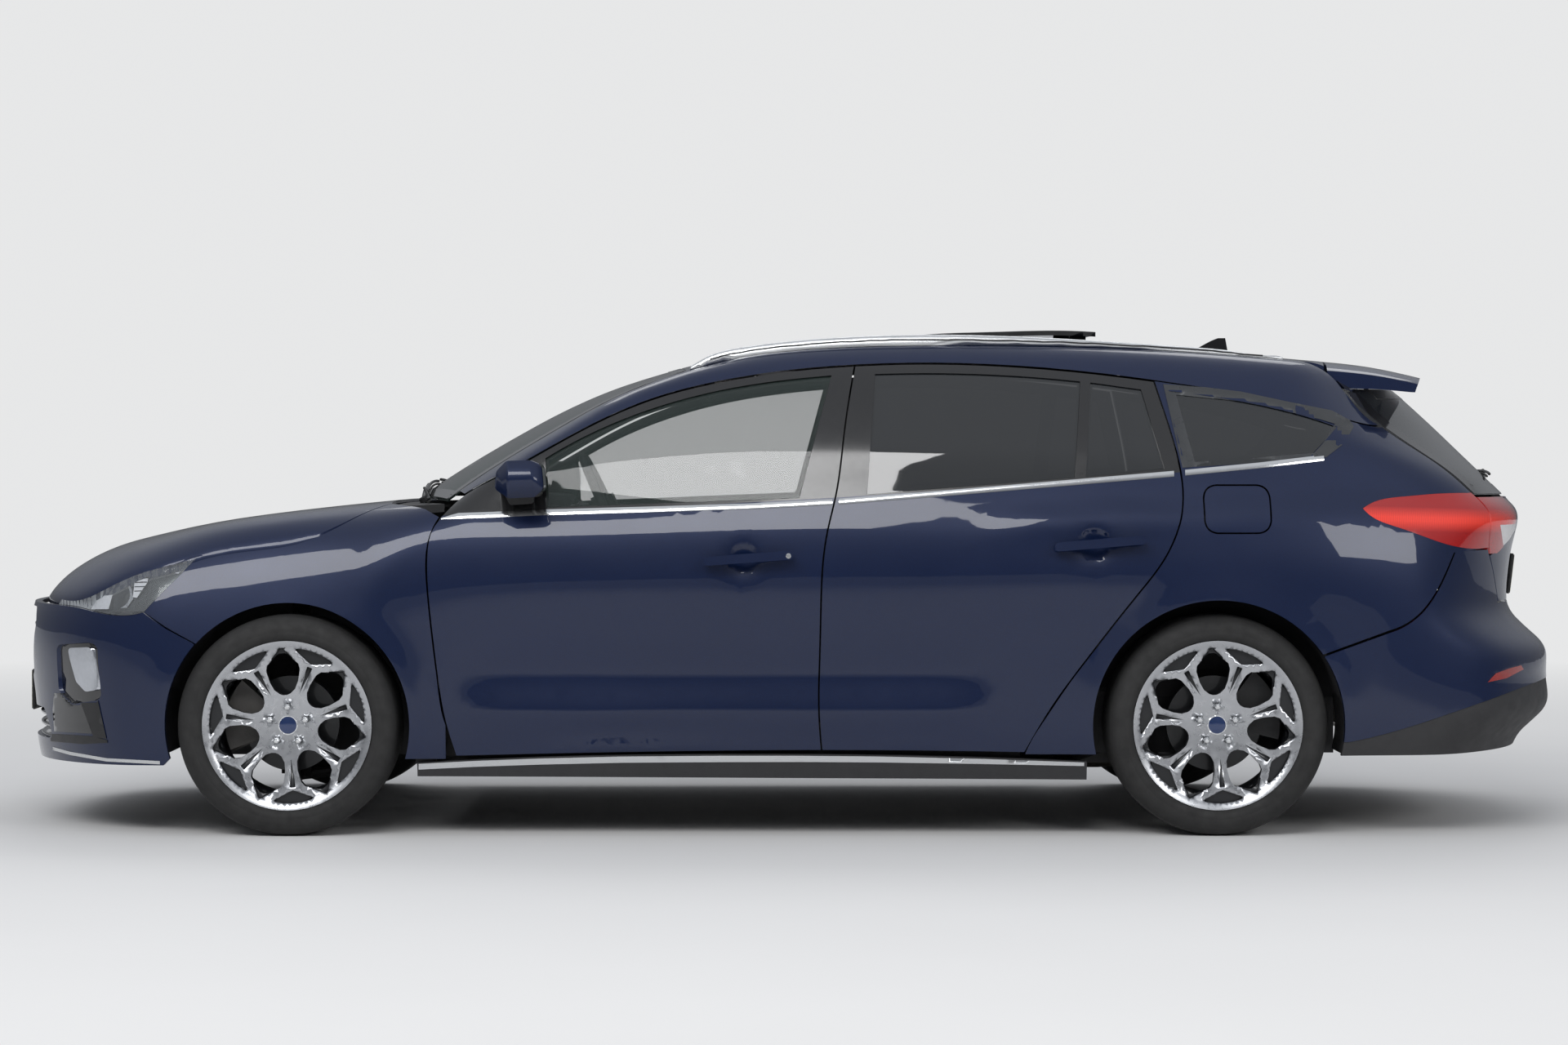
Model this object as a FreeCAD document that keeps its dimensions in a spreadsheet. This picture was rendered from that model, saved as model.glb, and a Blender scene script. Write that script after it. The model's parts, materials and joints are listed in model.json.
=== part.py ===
import FreeCAD, Part

import math
import os
from bisect import bisect_right

import Sketcher
from FreeCAD import Vector

# Station wagon, millimetres. X runs from nose to tail, Y to the car's right, Z up.
# The origin is on the ground, midway between the bumpers' tips.

SIZES = {
    "front_axle_at": -1450,
    "wheelbase": 2700,
    "front_track": 1566,
    "rear_track": 1552,
    "tyre_radius": 322,
    "tyre_width": 234,
    "rim_radius": 246,
    "rim_width": 222,
    "spoke_count": 7,
    "nut_circle": 108,
    "nut_count": 5,
    "disc_radius": 139,
    "disc_width": 22,
    "front_arch_radius": 356,
    "rear_arch_radius": 365,
    "liner_clearance": 8,
    "liner_wall": 4,
    "shut_gap": 5,
    "seam_gap": 0.8,
    "edge_taper": 12,
    "door_depth": 82,
    "frame_depth": 32,
    "panel_depth": 22,
    "wall_depth": 60,
    "roof_depth": 30,
    "lamp_depth": 70,
    "glass_set_back": 5,
    "glass_wall": 4,
    "fit_gap": 0.4,
    "scallop_rise": 7,
    "shoulder_rise": 9,
    "sunroof_front": -140,
    "sunroof_rear": 430,
    "sunroof_half_width": 400,
    "sunroof_glass_wall": 14,
    "rail_width": 32,
    "floor_height": 200,
    "floor_wall": 14,
    "load_floor_height": 500,
    "load_floor_start": 1100,
    "sill_inner_at": 735,
    "grip_height": 26,
    "grip_reach": 42,
    "bowl_radius": 50,
    "seat_centre": 365,
    "seat_width": 500,
    "front_seat_at": -480,
    "rear_seat_at": 420,
    "seat_height": 470,
    "cushion_depth": 500,
    "cushion_wall": 150,
    "back_height": 600,
    "back_wall": 120,
    "steering_wheel_radius": 182,
    "engine_length": 520,
    "engine_width": 800,
    "engine_height": 420,
    "exhaust_radius": 27,
    "hub_radius": 58,
    "arm_radius": 12,
    "beam_radius": 38,
    "kingpin_gap": 0.4,
}

doc = FreeCAD.newDocument("station_wagon")
sheet = doc.addObject("Spreadsheet::Sheet", "sizes")
for row, (alias, value) in enumerate(SIZES.items(), 1):
    sheet.set(f"A{row}", alias)
    sheet.set(f"B{row}", str(value))
    sheet.setAlias(f"B{row}", alias)
doc.recompute()


def size(alias):
    """One driving dimension, as the sheet holds it."""
    return float(getattr(sheet, alias))


FRONT_AXLE = size("front_axle_at")
REAR_AXLE = FRONT_AXLE + size("wheelbase")
WHEEL_Z = size("tyre_radius")
GAP = size("shut_gap")
SEAM = size("seam_gap")
FIT = size("fit_gap")


class Spline:
    """Natural cubic spline through (place, value) pairs, straight beyond its ends."""

    def __init__(self, pairs):
        self.at = [float(p[0]) for p in pairs]
        self.value = [float(p[1]) for p in pairs]
        count = len(pairs)
        step = [self.at[i + 1] - self.at[i] for i in range(count - 1)]
        rise = [(self.value[i + 1] - self.value[i]) / step[i] for i in range(count - 1)]
        self.bend = [0.0] * count
        lower, right = [0.0] * count, [0.0] * count
        for i in range(1, count - 1):
            pivot = 2 * (step[i - 1] + step[i]) - step[i - 1] * lower[i - 1]
            lower[i] = step[i] / pivot
            right[i] = (6 * (rise[i] - rise[i - 1]) - step[i - 1] * right[i - 1]) / pivot
        for i in range(count - 2, 0, -1):
            self.bend[i] = right[i] - lower[i] * self.bend[i + 1]
        self.step, self.rise = step, rise
        last = count - 2
        self.first_slope = rise[0] - step[0] * self.bend[1] / 6
        self.last_slope = rise[last] + step[last] * self.bend[last] / 6

    def __call__(self, at):
        if at <= self.at[0]:
            return self.value[0] + self.first_slope * (at - self.at[0])
        if at >= self.at[-1]:
            return self.value[-1] + self.last_slope * (at - self.at[-1])
        i = bisect_right(self.at, at) - 1
        a, b, h = at - self.at[i], self.at[i + 1] - at, self.step[i]
        low, high = self.bend[i], self.bend[i + 1]
        return ((low * b ** 3 + high * a ** 3) / 6 + (self.value[i] - low * h * h / 6) * b
                + (self.value[i + 1] - high * h * h / 6) * a) / h


def smooth_max(a, b, reach):
    """The larger of two distances, rounded where they are within reach of each other."""
    near = max(reach - abs(a - b), 0.0) / reach
    return max(a, b) + near ** 3 * reach / 6


def smooth_step(share):
    share = min(max(share, 0.0), 1.0)
    return share * share * (3 - 2 * share)


def bump(at, centre, spread):
    return math.exp(-((at - centre) / spread) ** 2)


def window(at, start, end, ramp):
    return smooth_step((at - start) / ramp) * smooth_step((end - at) / ramp)


# Body curves. The half width of the middle section by height, and how the plan
# narrows from it by station at five heights.

MID_SECTION = Spline([
    (150, 878), (250, 893), (376, 899), (480, 901), (600, 904), (745, 910), (850, 903),
    (915, 888), (965, 868), (1100, 826), (1200, 783), (1300, 730), (1370, 680), (1430, 622),
    (1500, 540)])
PLAN_HEIGHTS = (300, 600, 850, 1100, 1400)
PLAN_CURVES = (
    Spline([(-2200, -90), (-1900, -34), (-1700, -8), (-1450, 3), (-1000, -4), (0, 0), (700, 3),
            (1250, 13), (1600, 8), (1850, -15), (2100, -70), (2334, -150)]),
    Spline([(-2200, -120), (-1900, -42), (-1700, -13), (-1450, 0), (-1000, -5), (0, 0), (700, 2),
            (1250, 11), (1600, 4), (1850, -30), (2100, -100), (2334, -190)]),
    Spline([(-2200, -210), (-1900, -100), (-1700, -58), (-1450, -32), (-1100, -18), (-600, -9),
            (0, 0), (600, 3), (1140, 9), (1400, 4), (1665, -18), (1850, -65), (2050, -145)]),
    Spline([(-2050, -240), (-1700, -125), (-1200, -60), (-573, -32), (0, 0), (600, 3), (1140, 2),
            (1400, -8), (1665, -42), (1850, -90), (2050, -165)]),
    Spline([(-1200, -110), (-573, -52), (-200, -16), (150, 0), (600, 2), (1140, -10), (1400, -30),
            (1650, -62), (1850, -105), (2050, -165)]),
)
PLAN_SHARES = [Spline([(h, 1.0 if h == level else 0.0) for h in PLAN_HEIGHTS])
               for level in PLAN_HEIGHTS]
SHOULDER = Spline([(400, 880), (575, 893), (760, 915), (1140, 926), (1408, 940), (1900, 946)])
SCALLOP_RIDGE, SCALLOP_HOLLOW = 365, 475

# Heights along the middle of the bonnet, and of the windscreen, roof and spoiler.
BONNET_LINE = Spline([
    (-2334, 600), (-2290, 665), (-2212, 747), (-2172, 775), (-2063, 829), (-1943, 863),
    (-1773, 900), (-1620, 924), (-1450, 945), (-1246, 966), (-1100, 979)])
ROOF_LINE = Spline([
    (-1135, 985), (-1000, 1073), (-850, 1162), (-700, 1243), (-550, 1309), (-400, 1358),
    (-250, 1398), (-100, 1429), (100, 1452), (400, 1463), (700, 1460), (1009, 1448),
    (1344, 1425), (1567, 1405), (1775, 1383), (1943, 1346)])
CREST = Spline([(-2000, 790), (-1713, 800), (-1349, 802), (-1170, 850), (-1040, 900)])
# Stations of nose and tail along the middle, by height.
NOSE_LINE = Spline([(150, -2285), (230, -2305), (340, -2312), (430, -2320), (540, -2330),
                    (620, -2326), (680, -2310), (800, -2270)])
TAIL_LINE = Spline([
    (200, 2225), (277, 2262), (345, 2330), (400, 2338), (461, 2332), (535, 2322), (585, 2272),
    (640, 2222), (697, 2212), (763, 2219), (830, 2230), (896, 2246), (947, 2240), (990, 2200),
    (1043, 2147), (1103, 2088), (1194, 1998), (1265, 1922), (1330, 1850), (1420, 1750)])
TAIL_WRAP = Spline([(300, 105), (700, 108), (900, 119), (1065, 132), (1140, 172), (1200, 205),
                    (1300, 230), (1400, 235)])
NOSE_WRAP = 75
SHOULDER_ROUNDING, ROOF_ROUNDING, NOSE_ROUNDING, TAIL_ROUNDING = 80, 60, 120, 90


def half_width(x, z):
    """Half width of the body's side at a station and height."""
    width = MID_SECTION(z)
    for share, curve in zip(PLAN_SHARES, PLAN_CURVES):
        width += share(z) * curve(x)
    scallop = bump(z, SCALLOP_RIDGE, 42) - bump(z, SCALLOP_HOLLOW, 60)
    width += size_of.scallop * scallop * window(x, -1010, 650, 230)
    width += size_of.shoulder * bump(z, SHOULDER(x), 36) * window(x, 500, 1880, 280)
    for axle, radius in ((FRONT_AXLE, size_of.front_arch), (REAR_AXLE, size_of.rear_arch)):
        width += 5 * bump(math.hypot(x - axle, z - WHEEL_Z), radius, 38)
    return width


class size_of:
    """Sizes that the body's surface reads many times."""
    scallop = size("scallop_rise")
    shoulder = size("shoulder_rise")
    front_arch = size("front_arch_radius")
    rear_arch = size("rear_arch_radius")


def bonnet_height(x, y):
    back = NOSE_WRAP * (abs(y) / 500) ** 3 * smooth_step((-1500 - x) / 650)
    drop = 5 * (y / 700) ** 2 + 75 * (abs(y) / CREST(x)) ** 14
    return BONNET_LINE(x - back) - min(drop, 400)


def roof_height(x, y):
    back = 110 * (y / 700) ** 2 * smooth_step(-x / 700)
    crown = 15 + 7 * smooth_step((x + 600) / 600)
    return ROOF_LINE(x - back) - crown * (y / 600) ** 2


def nose_at(y, z):
    return NOSE_LINE(z) + NOSE_WRAP * (abs(y) / 500) ** 3


def tail_at(y, z):
    return TAIL_LINE(z) - TAIL_WRAP(z) * (abs(y) / 600) ** 3


def front_skin(x, y, z):
    """Below zero inside the front of the body, about the distance from its surface."""
    side = abs(y) - half_width(x, z)
    outside = smooth_max(side, z - bonnet_height(x, y), SHOULDER_ROUNDING)
    return smooth_max(outside, nose_at(y, z) - x, NOSE_ROUNDING) if x < -1400 else outside


def rear_skin(x, y, z):
    """The same from the windscreen to the tail."""
    side = abs(y) - half_width(x, z)
    outside = smooth_max(side, z - roof_height(x, y), ROOF_ROUNDING)
    return smooth_max(outside, x - tail_at(y, z), TAIL_ROUNDING) if x > 1200 else outside


def nose_skin(x, y, z):
    """The nose and sides alone, for the bumper below the lamps."""
    side = abs(y) - half_width(x, z)
    return smooth_max(side, nose_at(y, z) - x, NOSE_ROUNDING)


def tail_skin(x, y, z):
    """The tail and sides alone, without the roof."""
    side = abs(y) - half_width(x, z)
    return smooth_max(side, x - tail_at(y, z), TAIL_ROUNDING)


def along_ray(skin, origin, direction, reach, depth):
    """The point on a ray from inside the body that lies at a depth below its skin."""
    near, far = reach
    for _ in range(22):
        middle = (near + far) / 2
        point = origin + direction * middle
        if skin(point.x, point.y, point.z) < -depth:
            near = middle
        else:
            far = middle
    return origin + direction * near


# Families of rays that cover the body, each with two parameters.


class SideRays:
    """Rays across the car at a station and an angle about a lengthwise axis, left side."""

    def __init__(self, skin, axis_y, axis_z):
        self.skin, self.axis_y, self.axis_z = skin, axis_y, axis_z

    def params(self, point):
        return point.x, math.degrees(math.atan2(point.z - self.axis_z, -point.y - self.axis_y))

    def point(self, a, b, depth):
        angle = math.radians(b)
        direction = Vector(0, -math.cos(angle), math.sin(angle))
        return along_ray(self.skin, Vector(a, -self.axis_y, self.axis_z), direction,
                         (0, 1200), depth)


class PlanRays:
    """Upright rays at a station and an offset."""

    def __init__(self, skin, base=250):
        self.skin, self.base = skin, base

    def params(self, point):
        return point.x, point.y

    def point(self, a, b, depth):
        return along_ray(self.skin, Vector(a, b, self.base), Vector(0, 0, 1), (0, 1500), depth)


class FanRays:
    """Level rays that fan out from an upright axis, by angle from straight left."""

    def __init__(self, skin, centre, facing):
        self.skin, self.centre, self.facing = skin, centre, facing

    def params(self, point):
        return math.degrees(math.atan2(self.facing * (point.x - self.centre), -point.y)), point.z

    def point(self, a, b, depth):
        angle = math.radians(a)
        direction = Vector(self.facing * math.sin(angle), -math.cos(angle), 0)
        return along_ray(self.skin, Vector(self.centre, 0, b), direction, (0, 1400), depth)


class EndRays:
    """Level lengthwise rays at an offset and height."""

    def __init__(self, skin, start, facing):
        self.skin, self.start, self.facing = skin, start, facing

    def params(self, point):
        return point.y, point.z

    def point(self, a, b, depth):
        return along_ray(self.skin, Vector(self.start, a, b), Vector(self.facing, 0, 0),
                         (0, 1800), depth)


class GateRays(EndRays):
    """Lengthwise rays that run on at a steady slope where they would miss the skin."""

    def point(self, a, b, depth):
        reach = min(half_width(1700, b) - 60, 720)
        if abs(a) <= reach:
            return super().point(a, b, depth)
        edge = super().point(math.copysign(reach, a), b, depth)
        near = super().point(math.copysign(reach - 20, a), b, depth)
        slope = (edge.x - near.x) / 20
        return Vector(edge.x + slope * (abs(a) - reach), a, b)


def side_point(skin, x, z):
    """The left side's point at a station and height."""
    return along_ray(skin, Vector(x, -200, z), Vector(0, -1, 0), (0, 900), 0)


def plan_point(skin, x, y):
    return PlanRays(skin).point(x, y, 0)


def tail_point(y, z):
    return EndRays(rear_skin, 900, 1).point(y, z, 0)


# Plane curves as lists of points.


def line(*points):
    """Straight runs through points, ten steps each."""
    steps = 10
    out = [points[0]]
    for (a0, b0), (a1, b1) in zip(points, points[1:]):
        out += [(a0 + (a1 - a0) * i / steps, b0 + (b1 - b0) * i / steps)
                for i in range(1, steps + 1)]
    return out


def curve(*points):
    """A smooth curve through points, ten steps a span."""
    if len(points) == 2:
        return line(*points)
    along = [0.0]
    for (a0, b0), (a1, b1) in zip(points, points[1:]):
        along.append(along[-1] + math.hypot(a1 - a0, b1 - b0))
    first = Spline([(s, p[0]) for s, p in zip(along, points)])
    second = Spline([(s, p[1]) for s, p in zip(along, points)])
    steps = 10 * (len(points) - 1)
    return [(first(along[-1] * i / steps), second(along[-1] * i / steps))
            for i in range(steps + 1)]


def arc(centre, radius, start, end, steps=36):
    return [(centre[0] + radius * math.cos(math.radians(start + (end - start) * i / steps)),
             centre[1] + radius * math.sin(math.radians(start + (end - start) * i / steps)))
            for i in range(steps + 1)]


def moved(points, distance):
    """A plane curve moved to the left of its direction."""
    out = []
    for i, (a, b) in enumerate(points):
        before, after = points[max(i - 1, 0)], points[min(i + 1, len(points) - 1)]
        run = math.hypot(after[0] - before[0], after[1] - before[1])
        out.append((a - distance * (after[1] - before[1]) / run,
                    b + distance * (after[0] - before[0]) / run))
    return out


def extended(points, distance=80):
    """A plane curve with a straight run added at both ends."""
    def beyond(end, inner):
        run = math.hypot(end[0] - inner[0], end[1] - inner[1])
        share = distance / run
        return end[0] + (end[0] - inner[0]) * share, end[1] + (end[1] - inner[1]) * share
    return [beyond(points[0], points[1])] + list(points) + [beyond(points[-1], points[-2])]


def crossing(first, second):
    """Where two plane curves cross: the point and the place on each."""
    for i, (a, b) in enumerate(zip(first, first[1:])):
        for j, (c, d) in enumerate(zip(second, second[1:])):
            den = (b[0] - a[0]) * (d[1] - c[1]) - (b[1] - a[1]) * (d[0] - c[0])
            if abs(den) < 1e-9:
                continue
            s = ((c[0] - a[0]) * (d[1] - c[1]) - (c[1] - a[1]) * (d[0] - c[0])) / den
            t = ((c[0] - a[0]) * (b[1] - a[1]) - (c[1] - a[1]) * (b[0] - a[0])) / den
            if 0 <= s <= 1 and 0 <= t <= 1:
                return i + s, j + t
    raise ValueError("curves do not cross")


def piece_between(points, start, end):
    """The run of a curve between two places on it."""
    def at(place):
        i = min(int(place), len(points) - 2)
        s = place - i
        a, b = points[i], points[i + 1]
        return a[0] + (b[0] - a[0]) * s, a[1] + (b[1] - a[1]) * s
    low, high = min(start, end), max(start, end)
    run = [at(low)] + [points[i] for i in range(int(low) + 1, int(high) + 1)
                       if low + 0.01 < i < high - 0.01] + [at(high)]
    return run if start <= end else run[::-1]


def framed(bottom, right, top, left):
    """Four plane curves trimmed where they cross. Bottom and top run rearward, sides up."""
    bottom, right, top, left = (extended(c) for c in (bottom, right, top, left))
    bottom_left, left_bottom = crossing(bottom, left)
    bottom_right, right_bottom = crossing(bottom, right)
    top_left, left_top = crossing(top, left)
    top_right, right_top = crossing(top, right)
    return (piece_between(bottom, bottom_left, bottom_right),
            piece_between(right, right_bottom, right_top),
            piece_between(top, top_left, top_right),
            piece_between(left, left_bottom, left_top))


def spaced(points, count):
    """Points at even distances along a run of points."""
    along = [0.0]
    for a, b in zip(points, points[1:]):
        along.append(along[-1] + math.dist(a, b))
    out, i = [], 0
    for k in range(count):
        want = along[-1] * k / (count - 1)
        while i < len(points) - 2 and along[i + 1] < want:
            i += 1
        run = along[i + 1] - along[i]
        s = (want - along[i]) / run if run else 0.0
        s = min(max(s, 0.0), 1.0)
        out.append(tuple(p + (q - p) * s for p, q in zip(points[i], points[i + 1])))
    return out


def on_side(skin, points):
    return [side_point(skin, x, z) for x, z in points]


def on_plan(skin, points):
    return [plan_point(skin, x, y) for x, y in points]


def patch(rays, edges, depth, columns, rows):
    """Grid of points below the skin inside four edges: bottom, right, top, left."""
    bottom, right, top, left = [[rays.params(p) for p in spaced_vectors(edge, count)]
                                for edge, count in zip(edges, (columns, rows, columns, rows))]
    grid = []
    for i in range(columns):
        u = i / (columns - 1)
        row = []
        for j in range(rows):
            v = j / (rows - 1)
            at = [(1 - v) * bottom[i][k] + v * top[i][k] + (1 - u) * left[j][k] + u * right[j][k]
                  - (1 - u) * (1 - v) * bottom[0][k] - u * (1 - v) * bottom[-1][k]
                  - (1 - u) * v * top[0][k] - u * v * top[-1][k] for k in (0, 1)]
            below = depth(rays.point(at[0], at[1], 0)) if callable(depth) else depth
            row.append(rays.point(at[0], at[1], below))
        grid.append(row)
    return grid


def spaced_vectors(points, count):
    return [Vector(*p) for p in spaced([tuple(p) for p in points], count)]


def slab(outer, inner):
    """Closed solid between two grids of points that have like rows and columns."""
    surfaces = []
    for grid in (outer, inner):
        surface = Part.BSplineSurface()
        surface.interpolate(grid)
        surfaces.append(surface)
    faces = [surface.toShape() for surface in surfaces]
    edges = []
    for surface in surfaces:
        first_u, last_u, first_v, last_v = surface.bounds()
        edges.append([surface.uIso(first_u), surface.uIso(last_u),
                      surface.vIso(first_v), surface.vIso(last_v)])
    for first, second in zip(*edges):
        faces.append(Part.makeRuledSurface(first.toShape(), second.toShape()))
    shell = Part.Shell(faces)
    shell.sewShape()
    solid = Part.Solid(shell)
    if solid.Volume < 0:
        solid.reverse()
    return solid


def panel(rays, edges, outer, inner, columns, rows, inner_edges=None):
    """Solid between two depths below the skin, inside four edges."""
    return slab(patch(rays, edges, outer, columns, rows),
                patch(rays, inner_edges or edges, inner, columns, rows))


def wire_of(points, plane, at, corners=()):
    """Closed wire in a plane across an axis, smooth between corner places."""
    def placed(p):
        return Vector(p[0], at, p[1]) if plane == "side" else (
            Vector(p[0], p[1], at) if plane == "plan" else Vector(at, p[0], p[1]))
    return [placed(p) for p in points]


def closed_prism(runs, plane, start, length):
    """Prism over an outline made of runs, each straight (two points) or a smooth curve."""
    edges = []
    for run in runs:
        points = wire_of(run, plane, start)
        if len(points) == 2 and (points[1] - points[0]).Length < 1e-6:
            continue
        if len(points) == 2:
            edges.append(Part.makeLine(points[0], points[1]))
        else:
            smooth = Part.BSplineCurve()
            smooth.interpolate(points)
            edges.append(smooth.toShape())
    face = Part.Face(Part.Wire(edges))
    direction = {"side": Vector(0, length, 0), "plan": Vector(0, 0, length),
                 "end": Vector(length, 0, 0)}[plane]
    return face.extrude(direction)


def rounded(corners, radius):
    """Outline runs of a polygon with rounded corners, each a line and a curve."""
    runs, ends, count = [], [], len(corners)
    for i, here in enumerate(corners):
        before, after = corners[i - 1], corners[(i + 1) % count]
        into = math.dist(before, here)
        out = math.dist(here, after)
        turn = math.acos(max(-1.0, min(1.0, ((here[0] - before[0]) * (after[0] - here[0])
                                             + (here[1] - before[1]) * (after[1] - here[1]))
                                       / into / out)))
        cut = min(radius * math.tan(turn / 2), 0.45 * into, 0.45 * out)
        start = (here[0] + (before[0] - here[0]) * cut / into,
                 here[1] + (before[1] - here[1]) * cut / into)
        end = (here[0] + (after[0] - here[0]) * cut / out,
               here[1] + (after[1] - here[1]) * cut / out)
        middle = tuple(h + ((s + e) / 2 - h) * 0.59 for h, s, e in zip(here, start, end))
        ends.append((start, middle, end))
    for i in range(count):
        runs.append([ends[i - 1][2], ends[i][0]])
        runs.append(list(ends[i]))
    return runs


def mirrored(shape):
    """The same shape on the car's other side."""
    return shape.mirror(Vector(0, 0, 0), Vector(0, 1, 0))


def both_sides(shape):
    return Part.makeCompound([shape, mirrored(shape)])


nodes = []


def add_shape(label, shape):
    feature = doc.addObject("Part::Feature", label)
    feature.Label = label
    feature.Shape = shape
    feature.Placement = FreeCAD.Placement()
    nodes.append(feature)
    return feature

# Shut lines and outlines, in the side view (X, Z) unless said otherwise.

FRONT_DOOR_LINE = curve((-959, 228), (-993, 343), (-1014, 468), (-1031, 612), (-1042, 728),
                        (-1043, 834), (-1034, 882), (-1010, 925))
PILLAR_LINE = curve((101, 240), (92, 371), (94, 503), (98, 672), (104, 798), (118, 891),
                    (140, 982), (168, 1180), (200, 1372))
REAR_DOOR_LINE = curve((684, 236), (761, 368), (845, 486), (929, 596), (1014, 704), (1090, 805),
                       (1132, 895), (1149, 980), (1143, 1070), (1116, 1190), (1080, 1324))
CANT_LINE = curve((-1010, 925), (-948, 987), (-850, 1042), (-700, 1125), (-573, 1195),
                  (-379, 1277), (-182, 1326), (15, 1356), (200, 1371), (411, 1377), (624, 1371),
                  (814, 1357), (1086, 1324), (1244, 1300), (1435, 1266), (1572, 1234),
                  (1660, 1207), (1750, 1190))
DOOR_FOOT = curve((-1000, 232), (-500, 243), (100, 250), (500, 247), (900, 240))
ROOF_EDGE = curve((-1040, 742), (-985, 718), (-800, 682), (-573, 648), (-309, 618), (0, 606),
                  (400, 603), (900, 595), (1300, 576), (1604, 546))
BONNET_SIDE = curve((-1713, -805), (-1507, -803), (-1349, -794), (-1262, -772), (-1206, -738),
                    (-1166, -694))
BONNET_FRONT = curve((-1713, -805), (-1840, -792), (-1938, -765), (-2044, -708), (-2125, -625),
                     (-2195, -500), (-2250, -330), (-2277, -160), (-2284, 0))
BONNET_REAR = curve((-1166, -694), (-1183, -350), (-1188, 0))
SCREEN_FOOT = curve((-1000, -712), (-1065, -500), (-1118, -240), (-1135, 0))
SCREEN_HEAD = curve((-300, -616), (-318, -350), (-330, 0))
FRONT_LAMP_FOOT = ((-2120, 662), (-2045, 652), (-1960, 640), (-1872, 650))
LAMP_REAR = curve((-1872, 650), (-1838, 688), (-1792, 735), (-1713, 820))
GATE_SIDE = curve((-546, 1398), (-580, 1335), (-608, 1275), (-628, 1205), (-648, 1128),
                  (-662, 1060), (-672, 990), (-670, 900), (-655, 838), (-610, 760), (-570, 690))
FRONT_GLASS_OUTLINE = [
    [(-700, 954), (36, 982)], [(36, 982), (131, 1342)],
    [(131, 1342), (15, 1331), (-182, 1301), (-378, 1250), (-571, 1173), (-706, 1098)],
    [(-706, 1098), (-700, 954)]]
REAR_GLASS_OUTLINE = [
    [(232, 992), (836, 1041)], [(836, 1041), (862, 1324)],
    [(862, 1324), (560, 1346), (259, 1346)], [(259, 1346), (232, 992)]]
REAR_PANE_OUTLINE = [
    [(868, 1043), (1098, 1067)], [(1098, 1067), (1040, 1300)],
    [(1040, 1300), (892, 1321)], [(892, 1321), (868, 1043)]]
QUARTER_GLASS_OUTLINE = [
    [(1160, 1072), (1400, 1088), (1528, 1104)], [(1528, 1104), (1615, 1190)],
    [(1615, 1190), (1521, 1221), (1333, 1265), (1110, 1297)], [(1110, 1297), (1160, 1072)]]
TAIL_LAMP_OUTLINE = [
    [(1673, 952), (1703, 925), (1775, 897), (1845, 873), (1920, 848), (1975, 836), (2080, 834)],
    [(2080, 834), (2140, 905)], [(2140, 905), (2124, 954), (2074, 988), (2007, 996)],
    [(2007, 996), (1884, 993), (1811, 987), (1718, 974), (1673, 952)]]
FUEL_FLAP_CORNERS = [(1206, 878), (1404, 878), (1404, 1022), (1206, 1022)]

BELT_START, BELT_RAMP = 935, 70

side_rays = SideRays(rear_skin, 150, 700)
fender_rays = SideRays(front_skin, 450, 450)
pillar_rays = SideRays(rear_skin, 300, 800)
tail_rays = FanRays(rear_skin, 1250, 1)
tail_low_rays = FanRays(tail_skin, 1250, 1)
nose_rays = FanRays(nose_skin, -1600, -1)
lamp_rays = FanRays(front_skin, -1600, -1)


def door_edges(front, rear, inset=0.0):
    """A door's edges in the side view, with its gaps, moved in by an inset."""
    foot = moved(DOOR_FOOT, GAP / 2 + inset)
    head = moved(CANT_LINE, -(GAP / 2 + inset * 0.5))
    return framed(foot, moved(rear, GAP / 2 + inset), head, moved(front, -(GAP / 2 + inset * 0.5)))


def door_depth(point):
    """Thickness of a door: the whole shell below the belt, the window frame above it."""
    share = smooth_step((point.z - BELT_START) / BELT_RAMP)
    return size("door_depth") + (size("frame_depth") - size("door_depth")) * share


def door_shell(front, rear):
    outer = door_edges(front, rear)
    inner = door_edges(front, rear, size("edge_taper"))
    return panel(side_rays, [on_side(rear_skin, e) for e in outer], 0, door_depth, 26, 26,
                 [on_side(rear_skin, e) for e in inner])


def glass_pane(outline, span, rise):
    """A pane below the skin that fills an outline, cut from a slab over its region."""
    pane = sheet_over(side_rays, span, rise, size("glass_set_back"),
                      size("glass_set_back") + size("glass_wall"))
    return pane.common(side_cutter(shrunk(outline, FIT)))


def shrunk(outline, distance):
    """An outline's runs moved inward, its corners shared."""
    points = [p for run in outline for p in run[:-1]]
    area = sum(a[0] * b[1] - b[0] * a[1] for a, b in zip(points, points[1:] + points[:1]))
    sign = 1 if area > 0 else -1
    out = []
    count = len(points)
    shifted = []
    for i, p in enumerate(points):
        a, b = points[i - 1], points[(i + 1) % count]
        n1 = (-(p[1] - a[1]), p[0] - a[0])
        n2 = (-(b[1] - p[1]), b[0] - p[0])
        l1, l2 = math.hypot(*n1), math.hypot(*n2)
        n = (n1[0] / l1 + n2[0] / l2, n1[1] / l1 + n2[1] / l2)
        scale = 2 * distance * sign / (n[0] ** 2 + n[1] ** 2)
        shifted.append((p[0] + n[0] * scale, p[1] + n[1] * scale))
    i = 0
    for run in outline:
        out.append([shifted[(i + k) % count] for k in range(len(run))])
        i += len(run) - 1
    return out


def shape_of(label):
    """A finished sub-part's shape, by its name."""
    return next(node.Shape for node in nodes if node.Label == label)


def largest(shape):
    """The biggest of a shape's solids."""
    return max(shape.Solids, key=lambda solid: solid.Volume)


def fused(shapes):
    """One solid out of several that meet."""
    whole = shapes[0]
    for shape in shapes[1:]:
        whole = whole.fuse(shape)
    return whole.removeSplitter()


def seated(block, against, step):
    """A block trimmed where it would enter a piece, then drawn back by a small step."""
    trimmed = largest(block.cut(against)).copy()
    trimmed.translate(Vector(*step))
    return trimmed


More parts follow.
